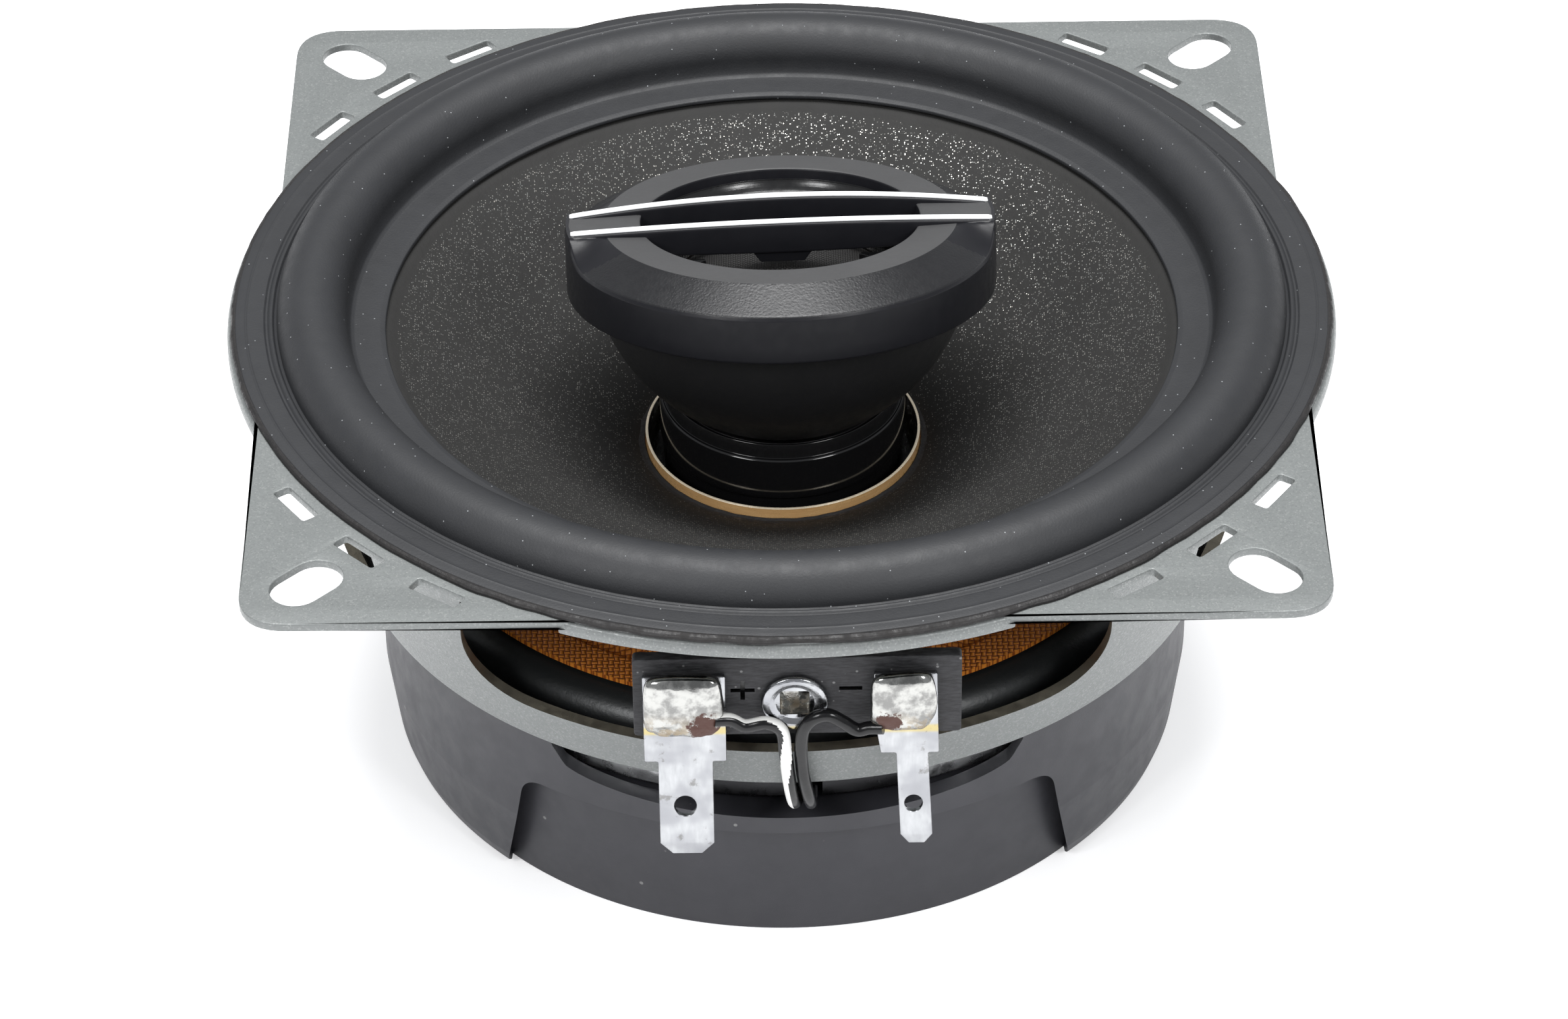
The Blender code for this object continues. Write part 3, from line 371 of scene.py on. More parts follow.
def board_fibre():
    """Dark vulcanised fibre with a faint nap."""
    look = Look("board_fibre", (0.02, 0.02, 0.02), 0.72, Specular_IOR_Level=0.35)
    fibre = look.noise(0.35, 4.0, stretch=(0.35, 1.0, 1.6))
    base = look.mix(look.ramp(fibre, 0.3, 0.7), (0.013, 0.013, 0.0145), (0.040, 0.040, 0.043))
    look.colour(look.specks(0.5, 0.07, base, (0.15, 0.15, 0.15))[0])
    look.rough(look.ramp(fibre, 0.3, 0.7, 0.62, 0.82))
    look.bump(fibre, 0.1)
    return look.made


def tinned_metal():
    """Bright tin plate with faint streaks, small stains and a flux line."""
    look = Look("tinned_metal", (0.82, 0.83, 0.84), 0.22, 1.0)
    streak = look.noise(0.5, 4.0, stretch=(1.0, 1.0, 0.25))
    patch = look.noise(1.3, 4.0)
    bright = look.mix(streak, (0.27, 0.277, 0.287), (0.46, 0.468, 0.48))
    base = look.mix(look.ramp(look.noise(3.2, 2.0), 0.35, 0.65), bright, (0.27, 0.275, 0.29))
    height = look.axis("Z")
    flux = look.times(look.ramp(height, 31.0 * MM, 31.4 * MM),
                      look.ramp(height, 31.8 * MM, 32.2 * MM, 1.0, 0.0))
    stained = look.mix(look.times(flux, 0.75), base, (0.42, 0.34, 0.12))
    look.colour(look.mix(look.ramp(patch, 0.60, 0.70, 0.0, 0.6), stained, (0.13, 0.125, 0.115)))
    look.rough(look.ramp(patch, 0.25, 0.75, 0.10, 0.30))
    look.bump(look.noise(0.4, 3.0), 0.02)
    return look.made


def solder_metal():
    """Bright solder, wrinkled lower down, with brown flux at each lead."""
    look = Look("solder", (0.84, 0.84, 0.84), 0.16, 1.0)
    ripple = look.noise(1.4, 4.0)
    base = look.mix(look.ramp(ripple, 0.38, 0.62), (0.19, 0.19, 0.185), (0.40, 0.40, 0.385))
    height = look.axis("Z")
    low = look.ramp(height, 32.0 * MM, 35.2 * MM, 1.0, 0.0)
    dirt = look.times(low, look.ramp(look.noise(1.1, 5.0), 0.45, 0.58))
    joints = look.maths("MAXIMUM", look.near((-7.2, -46.9, 33.2), 3.3),
                        look.near((8.8, -46.8, 33.4), 2.6))
    crust = look.times(look.noise(0.55, 6.0, 0.75), 1.5)
    burnt = look.ramp(look.plus(joints, crust), 1.30, 1.42)
    amber = look.mix(look.times(dirt, 0.7), base, (0.26, 0.19, 0.10))
    look.colour(look.mix(burnt, amber, (0.05, 0.012, 0.005)))
    look.metal(look.maths("SUBTRACT", 1.0, look.maths("MAXIMUM", burnt, look.times(dirt, 0.6))))
    look.rough(look.ramp(look.maths("MAXIMUM", dirt, burnt), 0.0, 1.0, 0.12, 0.55))
    look.bump(look.plus(look.times(ripple, 0.25), look.times(low, look.noise(0.5, 4.0))), 0.14)
    return look.made


def plated_steel(name, colour, roughness):
    """Zinc plate with turning marks and dull patches."""
    look = Look(name, colour, roughness, 1.0)
    patch = look.noise(3.0, 4.0)
    darker = tuple(value * 0.7 for value in colour)
    look.colour(look.mix(patch, darker, colour))
    look.rough(look.ramp(patch, 0.3, 0.7, roughness - 0.06, roughness + 0.12))
    look.bump(look.noise(0.3, 3.0, stretch=(0.4, 0.4, 2.0)), 0.004)
    return look.made


def top_plate_steel():
    """Zinc plate, with painted shade on its edge round the lead notch, where the terminal board and leads
    shade it.
    """
    look = Look("top_plate_steel", (0.7, 0.71, 0.72), 0.25, 1.0)
    patch = look.noise(3.0, 4.0)
    # Painted shade: near-black round the lead notch, where the terminal board and leads shade the edge.
    cloud = look.plus(look.near((1.4, -36.3, 18.5), 17.0), look.noise(2.0, 3.0))
    painted_shade = look.ramp(cloud, 0.55, 0.95)
    zinc = look.mix(patch, (0.5, 0.51, 0.52), (0.72, 0.73, 0.74))
    look.colour(look.mix(painted_shade, zinc, (0.03, 0.03, 0.032)))
    look.rough(look.ramp(patch, 0.3, 0.7, 0.2, 0.4))
    look.bump(look.noise(0.3, 3.0, stretch=(0.4, 0.4, 2.0)), 0.004)
    return look.made


def ferrite():
    """Sintered dark grey ceramic."""
    look = Look("ferrite", (0.035, 0.035, 0.037), 0.65)
    look.colour(look.mix(look.noise(1.5, 5.0), (0.022, 0.022, 0.023), (0.06, 0.06, 0.062)))
    look.bump(look.noise(0.3, 4.0), 0.06)
    return look.made


def copper_winding(name, pitch):
    """Enamelled copper wire laid in fine turns up the axis."""
    look = Look(name, (0.6, 0.25, 0.12), 0.3, 1.0)
    turns = look.maths("SINE", look.times(look.axis("Z"), 2.0 * math.pi / (pitch * MM)))
    look.colour(look.mix(look.noise(1.0), (0.45, 0.16, 0.07), (0.72, 0.32, 0.15)))
    look.bump(look.ramp(turns, -1.0, 1.0), pitch * 0.3)
    return look.made


def sleeve_film():
    """Dark blue shrink film of the capacitor."""
    look = Look("capacitor_sleeve", (0.03, 0.05, 0.16), 0.3, Coat_Weight=0.3)
    look.colour(look.mix(look.noise(1.2), (0.02, 0.035, 0.12), (0.04, 0.065, 0.2)))
    look.bump(look.noise(0.8), 0.03)
    return look.made


def pale_floor():
    look = Look("pale_floor", (0.93, 0.93, 0.935), 0.85, Specular_IOR_Level=0.1,
                Emission_Color=(1.0, 1.0, 1.0, 1.0), Emission_Strength=0.36)
    look.colour(look.mix(look.noise(60.0, 2.0), (0.92, 0.92, 0.93), (0.945, 0.945, 0.95)))
    return look.made


LOOKS = {
    "frame_paint": frame_paint(),
    "punched_edge": punched_edge(),
    "surround_rubber": surround_rubber(),
    "edge_glue": edge_glue(),
    "cone_paper": cone_paper(),
    "spider_cloth": woven_cloth("spider_cloth", 0.5, (1.0, 0.33, 0.035), (0.36, 0.08, 0.006), 0.6),
    "dome_cloth": woven_cloth("dome_cloth", 0.22, (0.011, 0.010, 0.0095), (0.004, 0.0035, 0.0035), 0.5),
    "former_film": amber_film(),
    "copper_wire": copper_winding("copper_wire", 0.2),
    "boot_rubber": boot_rubber(),
    "stem_plastic": moulded_plastic("stem_plastic", (0.006, 0.006, 0.0065), 0.09, 6.0, 0.006, 0.04),
    "ball_plastic": moulded_plastic("ball_plastic", (0.010, 0.010, 0.011), 0.42, 0.25, 0.01),
    "cap_plastic": moulded_plastic("cap_plastic", (0.0095, 0.0096, 0.0118), 0.34, 0.3, 0.002,
                                   Specular_IOR_Level=0.2),
    "guard_plastic": moulded_plastic("guard_plastic", (0.006, 0.006, 0.0065), 0.22, 0.5, 0.008),
    "cap_face": moulded_plastic("cap_face", (0.044, 0.044, 0.045), 0.55, 0.2, 0.008),
    "cap_grain": cap_grain(),
    "stripe_trim": bright_trim(),
    "board_fibre": board_fibre(),
    "tinned_metal": tinned_metal(),
    "solder": solder_metal(),
    "jacket_black": moulded_plastic("jacket_black", (0.006, 0.006, 0.0067), 0.2, 0.5, 0.01, 0.06,
                                    Specular_IOR_Level=0.3),
    "jacket_white": moulded_plastic("jacket_white", (0.82, 0.82, 0.80), 0.35, 0.5, 0.02, 0.1),
    "zinc_steel": plated_steel("zinc_steel", (0.72, 0.73, 0.74), 0.2),
    "top_plate_steel": top_plate_steel(),
    "ferrite": ferrite(),
    "capacitor_sleeve": sleeve_film(),
    "pale_floor": pale_floor(),
}


# ---------------------------------------------------------------- shapes


def linked(name, data):
    """A new object in the scene."""
    item = bpy.data.objects.new(name, data)
    bpy.context.scene.collection.objects.link(item)
    return item


def cleaned(mesh):
    """Merges doubled points and turns every face outwards."""
    work = bmesh.new()
    work.from_mesh(mesh)
    bmesh.ops.remove_doubles(work, verts=work.verts, dist=1e-7)
    bmesh.ops.recalc_face_normals(work, faces=work.faces)
    work.to_mesh(mesh)
    work.free()
    return mesh


def build(name, points, faces, looks, angle=38.0, place=None, face_looks=None):
    """A mesh object from points in millimetres, shaded smooth except at its sharp edges."""
    mesh = bpy.data.meshes.new(name)
    mesh.from_pydata([tuple(value * MM for value in point) for point in points], [], faces)
    for look in looks:
        mesh.materials.append(LOOKS[look])
    if face_looks is not None:
        mesh.polygons.foreach_set("material_index", face_looks)
    if place is not None:
        scaled = place.copy()
        scaled.translation *= MM
        mesh.transform(scaled)
    return shaded(linked(name, cleaned(mesh)), angle)


def shaded(item, angle=38.0):
    """Smooth shading with sharp edges where faces meet at more than the angle."""
    item.data.shade_smooth()
    item.data.set_sharp_from_angle(angle=math.radians(angle))
    return item


def onto_tweeter(item, turn=Matrix()):
    """Moves a shape from the tweeter's own axes, after a turn of its own, to its place."""
    item.data.transform(Matrix.Translation(BALL_CENTRE * MM) @ TWEETER.to_3x3().to_4x4() @ turn)
    return item


def stand_for(item, body, nodes=()):
    """The piece rides on a body and stands for those CAD nodes."""
    if body:
        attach(item, body)
    if nodes:
        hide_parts(*nodes)
    return item


def softened(points, radius, closed=True, steps=5):
    """The outline with its corners rounded; a short side limits its corners' radius."""
    result = []
    count = len(points)
    for i, corner in enumerate(points):
        if not closed and i in (0, count - 1):
            result.append(tuple(corner))
            continue
        here = Vector(corner)
        before = Vector(points[i - 1]) - here
        after = Vector(points[(i + 1) % count]) - here
        bend = before.angle(after)
        if bend > math.radians(176.0):
            result.append(tuple(corner))
            continue
        reach = min(radius / math.tan(bend / 2), 0.45 * before.length, 0.45 * after.length)
        start = here + before.normalized() * reach
        end = here + after.normalized() * reach
        for k in range(steps + 1):
            t = k / steps
            result.append(tuple(start * (1 - t) ** 2 + here * 2 * t * (1 - t) + end * t * t))
    return result


def arc(radius, from_angle, to_angle, steps, centre=(0.0, 0.0)):
    """Outline points on a circle; angles in degrees."""
    angles = [math.radians(from_angle + (to_angle - from_angle) * k / steps) for k in range(steps + 1)]
    return [(centre[0] + radius * math.cos(a), centre[1] + radius * math.sin(a)) for a in angles]


def divided(points, longest, closed=True):
    """The outline with long sides cut into steps no longer than that."""
    result = []
    last = len(points) if closed else len(points) - 1
    for i in range(last):
        start, end = Vector(points[i]), Vector(points[(i + 1) % len(points)])
        steps = max(1, math.ceil((end - start).length / longest))
        result += [tuple(start.lerp(end, k / steps)) for k in range(steps)]
    if not closed:
        result.append(tuple(points[-1]))
    return result


def quads(rows, sides):
    """Faces between rows of points, each row closed on itself."""
    faces = []
    for i in range(rows):
        for k in range(sides):
            j = (k + 1) % sides
            row = i * sides
            faces.append((row + k, row + j, row + sides + j, row + sides + k))
    return faces


def ends(count, sides):
    """The two faces that close a run of rows at its first and last row."""
    return [tuple(reversed(range(sides))), tuple(range(count - sides, count))]


def turned_mesh(profile, segments, closed=True):
    """Points and faces of a turned shape from (radius, height) points."""
    points, rows, faces = [], [], []
    angles = [2.0 * math.pi * k / segments for k in range(segments)]
    for radius, height in profile:
        first = len(points)
        if radius < 1e-6:
            points.append((0.0, 0.0, height))
            rows.append([first] * segments)
        else:
            points += [(radius * math.cos(a), radius * math.sin(a), height) for a in angles]
            rows.append(list(range(first, first + segments)))
    pairs = list(zip(rows, rows[1:]))
    if closed:
        pairs.append((rows[-1], rows[0]))
    for lower, upper in pairs:
        for k in range(segments):
            j = (k + 1) % segments
            face = list(dict.fromkeys((lower[k], lower[j], upper[j], upper[k])))
            if len(face) > 2:
                faces.append(face)
    return points, faces


def turned(name, profile, look, segments=FINE, closed=True, rounding=0.15, place=None, angle=38.0):
    """A turned piece; rounding is the radius of its profile's corners, 0 for a profile left as it is."""
    line = softened(profile, rounding, closed) if rounding else profile
    points, faces = turned_mesh(line, segments, closed)
    return build(name, points, faces, [look], angle, place)


def plate(name, outlines, low, high, look, edge=0.0, upright=False):
    """A flat outline, with holes, made solid from low to high, its edges rounded by edge.

    Upright plates have their outline in X and Z, and low and high are depths along +Y.
    """
    curve = bpy.data.curves.new(name, "CURVE")
    curve.dimensions = "2D"
    curve.fill_mode = "BOTH"
    curve.extrude = ((high - low) / 2 - edge) * MM
    curve.bevel_depth = edge * MM
    curve.bevel_resolution = 3
    curve.offset = -edge * MM
    for outline in outlines:
        spline = curve.splines.new("POLY")
        spline.points.add(len(outline) - 1)
        for point, (a, b) in zip(spline.points, outline):
            point.co = (a * MM, b * MM, 0.0, 1.0)
        spline.use_cyclic_u = True
    shape = linked(name + "_outline", curve)
    middle = (low + high) / 2 * MM
    shape.location = (0.0, middle, 0.0) if upright else (0.0, 0.0, middle)
    shape.rotation_euler = (math.pi / 2, 0.0, 0.0) if upright else (0.0, 0.0, 0.0)
    bpy.context.view_layer.update()
    mesh = bpy.data.meshes.new_from_object(shape.evaluated_get(bpy.context.evaluated_depsgraph_get()))
    mesh.transform(shape.matrix_world)
    bpy.data.objects.remove(shape, do_unlink=True)
    mesh.materials.clear()
    mesh.materials.append(LOOKS[look])
    return shaded(linked(name, cleaned(mesh)))


def rectangle(left, right, low, high):
    return [(left, low), (right, low), (right, high), (left, high)]


def circle(radius, centre, sides=48):
    return arc(radius, 0.0, 360.0 * (sides - 1) / sides, sides - 1, centre)


def joined(item, *others):
    """Adds the other objects' meshes to the first and removes them."""
    work = bmesh.new()
    work.from_mesh(item.data)
    for other in others:
        looks = list(item.data.materials)
        for material in other.data.materials:
            if material not in looks:
                item.data.materials.append(material)
                looks.append(material)
        numbers = [looks.index(material) for material in other.data.materials]
        start = len(work.faces)
        work.from_mesh(other.data)
        work.faces.ensure_lookup_table()
        for face in work.faces[start:]:
            face.material_index = numbers[face.material_index]
        bpy.data.objects.remove(other, do_unlink=True)
    work.to_mesh(item.data)
    work.free()
    return item


def cut(item, *cutters, operation="DIFFERENCE"):
    """Cuts the others away, joins them or keeps what both share; cut faces keep the cutter's look."""
    for cutter in cutters:
        step = item.modifiers.new("Cut", "BOOLEAN")
        step.operation = operation
        step.object = cutter
        step.solver = "EXACT"
        step.material_mode = "TRANSFER"
    bpy.context.view_layer.update()
    graph = bpy.context.evaluated_depsgraph_get()
    mesh = bpy.data.meshes.new_from_object(item.evaluated_get(graph))
    item.modifiers.clear()
    item.data = mesh
    for cutter in cutters:
        bpy.data.objects.remove(cutter, do_unlink=True)
    return shaded(item)


def roughened(item, amount, size, seed, choose=lambda co: 1.0):
    """Moves points a little with noise; amount and size in millimetres."""
    offset = Vector((seed * 17.3, seed * 5.1, seed * 2.7))
    for vertex in item.data.vertices:
        share = choose(vertex.co / MM)
        if share > 0.0:
            move = noise.noise_vector(vertex.co / (size * MM) + offset)
            vertex.co += move * amount * MM * share
    return item


def catmull(points, per_span):
    """Points on a smooth curve through the route's own points."""
    ends = [2 * Vector(points[0]) - Vector(points[1])]
    ends += [Vector(p) for p in points]
    ends += [2 * Vector(points[-1]) - Vector(points[-2])]
    route = []
    for a, b, c, d in zip(ends, ends[1:], ends[2:], ends[3:]):
        for k in range(per_span):
            t = k / per_span
            route.append(
                0.5 * (2 * b + (c - a) * t + (2 * a - 5 * b + 4 * c - d) * t * t
                       + (3 * b - a - 3 * c + d) * t**3)
            )
    route.append(Vector(points[-1]))
    return route


def tube(name, route, diameter, looks, sides=20, up=(0.0, -1.0, 0.0), stripe=None, place=None):
    """A round wire along a route; stripe gives, for a station, the share of the way round
    where the band with the second look has its middle.
    """
    points, looks_of_faces = [], []
    radius = diameter / 2
    normal = Vector(up)
    for i, here in enumerate(route):
        ahead = (route[min(i + 1, len(route) - 1)] - route[max(i - 1, 0)]).normalized()
        normal = (normal - ahead * normal.dot(ahead)).normalized()
        side = ahead.cross(normal)
        for k in range(sides):
            turn = 2.0 * math.pi * k / sides
            points.append(here + radius * (normal * math.cos(turn) + side * math.sin(turn)))
    for i in range(len(route) - 1):
        for k in range(sides):
            away = ((k + 0.5) / sides - stripe(i) + 0.5) % 1.0 - 0.5 if stripe else 1.0
            looks_of_faces.append(1 if abs(away) < HALF_STRIPE else 0)
    faces = quads(len(route) - 1, sides) + ends(len(points), sides)
    return build(name, points, faces, looks, 50.0, place, looks_of_faces + [0, 0])


def follow(item, distances):
    """Moves each point to its distance along X for a moment, then puts every point back, so the mesh comes
    out as it went in.

    distances is one number per point, in millimetres, such as its radius or its height.
    """
    places = [vertex.co.copy() for vertex in item.data.vertices]
    for vertex, distance in zip(item.data.vertices, distances):
        vertex.co = (distance * MM, 0.0, 0.0)
    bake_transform(item)
    for vertex, place in zip(item.data.vertices, places):
        vertex.co = place
    item.data.update()
    return item


def radii(item):
    return [math.hypot(vertex.co.x, vertex.co.y) / MM for vertex in item.data.vertices]


# ---------------------------------------------------------------- basket


def basket():
    """Pressed steel basket: flange with square ears, conical wall with windows, spider seat."""
    wall = [(46.0, 44.7), (45.2, 39.5), (44.0, 32.5), (42.3, 26.5), (41.2, 23.0), (40.7, 21.5)]
    inner = [(41.1, 26.5), (42.8, 32.5), (44.0, 39.5), (44.8, 43.6), (45.4, 44.9)]
    profile = [(46.6, 45.5), (50.2, 45.5), (50.85, 45.2), (51.0, 44.7), (51.0, 44.0), (50.2, 44.0)]
    profile += [(50.2, 44.7)] + wall + [(35.2, 21.5), (35.2, 24.8), (31.5, 24.8), (31.5, 21.5)]
    rail = arc(3.45, 90.0, 10.0, 24, (34.9, 22.6))
    profile += [(16.5, 21.5), (16.5, 22.7), (29.9, 22.7), (30.4, 26.05)] + rail
    profile += [(38.9, 22.8), (39.95, 22.8)] + inner
    shell = turned("basket_frame_look", divided(softened(profile, 0.7), 4.0), "frame_paint", rounding=0.2)

    corners = softened(rectangle(-EAR_HALF, EAR_HALF, -EAR_HALF, EAR_HALF), EAR_CORNER, steps=10)
    lip_line = [(51.6, 44.72), (51.6, 43.0), (49.6, 43.0), (49.6, 44.72)]
    lip = turned("lip_below_ears", lip_line, "frame_paint")
    below = plate("below_ears", [[(x * 0.999, y * 0.999) for x, y in corners]], 42.0, 45.2, "frame_paint")
    cut(lip, below, operation="INTERSECT")
    cutters = [lip]
    for quarter, half in enumerate(WINDOW_HALVES):
        outline = softened(rectangle(-half, half, 26.6, 42.5), 6.5, steps=12)
        window = plate(f"window_{quarter}", [outline], -50.0, -28.0, "punched_edge", upright=True)
        window.data.transform(Matrix.Rotation(math.radians(90.0 * quarter), 4, "Z"))
        cutters.append(window)
    cut(shell, *cutters)

    holes = [circle(50.55, (0.0, 0.0), FINE)]
    for quadrant in range(4):
        diagonal = 45.0 + 90.0 * quadrant
        turn = Matrix.Rotation(math.radians(diagonal), 2)
        distance = EAR_SLOT * math.sqrt(2)
        slot = arc(2.3, -90.0, 90.0, 14, (distance + 1.2, 0.0))
        slot += arc(2.3, 90.0, 270.0, 14, (distance - 1.2, 0.0))
        holes.append([tuple(turn @ Vector(point)) for point in slot])
        clip = softened(rectangle(*CLIP_SLOT), 0.3, steps=3)
        for step in (-10.0, 0.0, 10.0):
            swing = Matrix.Rotation(math.radians(diagonal + step), 2)
            holes.append([tuple(swing @ Vector(point)) for point in clip])
    ears = plate("ears", [corners] + holes, FLANGE_TOP - SHEET, FLANGE_TOP, "frame_paint", edge=0.12)
    tongue = plate("tongue", [softened(rectangle(-6.0, 7.2, 31.5, 44.0), 1.0), circle(EYELET_BORE, EYELET)],
                   -43.2, -42.0, "frame_paint", 0.12, True)
    bridge = plate("bridge", [softened(rectangle(-5.8, 7.0, 42.9, 44.3), 0.3)],
                   -45.4, -42.6, "frame_paint", 0.1, True)
    joined(shell, ears, tongue, bridge)
    return stand_for(shaded(shell), "root", ["basket_frame"])


def adhesive():
    """Bead of glue that squeezed out round the surround's edge."""
    bead = [(50.1, 45.95), (50.3, 45.99), (50.48, 45.9), (50.6, 45.75), (50.66, 45.55), (50.1, 45.5)]
    item = turned("edge_adhesive_bead", bead, "edge_glue", segments=720, rounding=0.08)
    shaker = random.Random(7)
    phases = [(shaker.uniform(0, 6.28), shaker.randint(8, 110), shaker.uniform(0.01, 0.03))
              for _ in range(14)]
    for vertex in item.data.vertices:
        angle = math.atan2(vertex.co.y, vertex.co.x)
        radius = math.hypot(vertex.co.x, vertex.co.y) / MM
        wave = sum(size * math.sin(count * angle + phase) for phase, count, size in phases)
        share = min(max((radius - 50.1) / 0.5, 0.0), 1.0)
        front = min(max((-vertex.co.y / MM - 38.0) / 8.0, 0.0), 1.0)
        scale = (radius + share * min(wave * (0.6 + front) + 0.22 * front, 0.3)) / radius
        vertex.co.x *= scale
        vertex.co.y *= scale
    roughened(item, 0.025, 0.7, 3)
    return stand_for(item, "root", ["edge_adhesive"])


# ---------------------------------------------------------------- moving system


def surround():
    """Rubber edge: flat outer lip with moulded lines, half roll and inner lip on the cone."""
    outer = [(50.2, 45.6), (50.2, 46.0), (49.6, 46.04), (49.36, 46.06), (49.22, 46.11), (49.08, 46.05)]
    outer += [(48.85, 46.03), (47.6, 46.03), (47.42, 45.88), (47.25, 45.88), (47.1, 46.02), (46.95, 46.1)]
    outer += [(46.78, 46.06), (46.62, 45.88)]
    roll = arc(3.2, 4.0, 176.0, 40, (43.2, 45.75))
    inner = [(39.93, 45.2), (39.7, 44.62), (39.35, 44.4), (38.6, 44.33), (37.0, 44.24), (36.5, 44.1)]
    inner += [(36.45, 43.9)]
    under = [(36.45, 43.8), (40.2, 43.85), (40.5, 44.5)] + arc(2.7, 176.0, 4.0, 30, (43.2, 45.75))
    under += [(46.6, 45.6)]
    profile = softened(outer, 0.1, False, 3) + roll + softened(inner, 0.4, False, 4) + under
    item = turned("surround_roll", profile, "surround_rubber", 360, rounding=0, angle=50.0)
    roughened(item, 0.02, 2.5, 5)
    follow(item, radii(item))
    return stand_for(item, None, ["surround"])


def cone():
    """Paper cone with a slightly dished face, its edge under the rubber lip."""
    top = []
    for k in range(41):
        radius = 36.4 + (13.2 - 36.4) * k / 40
        share = (radius - 13.2) / 23.2
        top.append((radius, 29.8 + 13.6 * share - 0.35 * math.sin(math.pi * share)))
    under = [(13.1, 29.1), (13.4, 29.3)]
    for k in range(1, 12):
        share = k / 12
        under.append((13.4 + 23.1 * share, 29.35 + 13.5 * share - 0.35 * math.sin(math.pi * share)))
    profile = [(39.5, 43.0), (39.5, 43.5), (37.0, 43.5)] + top + under + [(36.5, 42.85)]
    item = turned("cone_paper_body", profile, "cone_paper", 300, rounding=0, angle=50.0)
    roughened(item, 0.05, 3.0, 11)
    return stand_for(item, "moving_cone", ["cone"])


def former():
    wall = [(12.86, 31.05), (12.86, 14.7), (12.6, 14.7), (12.6, 31.05)]
    item = turned("voice_coil_former_film", divided(wall, 3.0), "former_film", rounding=0.05)
    stand_for(item, "moving_cone", ["voice_coil_former"])
    bead = [(12.9, 30.05), (13.0, 30.12), (13.25, 29.95), (13.6, 29.98), (13.5, 29.75), (12.9, 29.7)]
    glue = turned("neck_glue", bead, "edge_glue", rounding=0.1)
    roughened(glue, 0.05, 1.2, 21)
    stand_for(glue, "moving_cone")
    turns = [(13.5, 22.1), (13.5, 15.1), (12.97, 15.1), (12.97, 22.1)]
    winding = turned("voice_coil_winding_wire", turns, "copper_wire")
    return stand_for(winding, "moving_cone", ["voice_coil_winding"])


def spider():
    """Woven disc with round corrugations."""
    line = []
    for k in range(161):
        radius = 13.1 + (35.5 - 13.1) * k / 160
        share = min(max((radius - 14.2) / (32.5 - 14.2), 0.0), 1.0)
        line.append((radius, 26.65 + 0.62 * math.sin(share * 10 * math.pi)))
    upper = [(radius, height + 0.22) for radius, height in line]
    lower = [(radius, height - 0.22) for radius, height in reversed(line)]
    item = turned("spider_cloth_disc", upper + lower, "spider_cloth", 240, rounding=0, angle=60.0)
    follow(item, radii(item))
    return stand_for(item, None, ["spider"])


def tinsel_leads():
    """Braided leads from the back of the terminals to the cone's neck."""
    for name, side in (("positive", -1), ("negative", 1)):
        start_x = -9.0 if side < 0 else 10.3
        route = [(start_x, -43.0, 33.4), (start_x, -40.0, 32.6), (start_x * 0.94, -33.5, 31.2),
                 (side * 7.4, -26.0, 30.6), (side * 6.0, -19.0, 30.0), (side * 5.4, -14.6, 28.8)]
        item = tube("tinsel_braid_" + name, catmull(route, 14), 0.8, ["copper_wire"], 14)
        for i, vertex in enumerate(item.data.vertices):
            twist = math.sin(i * 0.9) * 0.04 * MM
            vertex.co.z += twist
        depths = [vertex.co.y / MM for vertex in item.data.vertices]
        follow(item, depths)
        stand_for(item, None, ["tinsel_lead_" + name])


# ---------------------------------------------------------------- motor


def motor():
    steel = [(14.1, 21.2), (35.8, 21.2), (36.3, 20.7), (36.3, 16.4), (35.8, 15.9), (14.1, 15.9)]
    plate_ring = turned("top_plate_ring", steel, "top_plate_steel", rounding=0.25)
    notch = plate("plate_notch", [rectangle(-0.3, 3.1, 15.0, 22.0)],
                  -38.0, -32.6, "top_plate_steel", upright=True)
    stand_for(cut(plate_ring, notch), "root", ["top_plate"])
    block = [(20.0, 15.6), (31.9, 15.6), (32.5, 15.0), (32.5, 6.5), (31.9, 5.9), (20.0, 5.9)]
    stand_for(turned("ferrite_ring", block, "ferrite", MEDIUM, rounding=0.3), "root", ["ferrite_magnet"])
    yoke = [(4.2, 21.2), (12.2, 21.2), (12.2, 5.6), (33.4, 5.6), (33.9, 5.1), (33.9, 1.8), (33.4, 1.3)]
    yoke += [(6.8, 1.3), (6.8, 5.8), (4.2, 5.8)]
    pole = turned("t_yoke_steel", yoke, "zinc_steel", MEDIUM, rounding=0.25)
    channel = plate("yoke_channel", [rectangle(-0.3, 3.1, 0.0, 3.3)],
                    -36.0, -5.0, "zinc_steel", upright=True)
    gap = plate("yoke_gap", [rectangle(-0.31, 3.11, -0.5, 7.0)], -36.5, -31.9, "zinc_steel", upright=True)
    stand_for(cut(pole, channel, gap), "root", ["t_yoke"])


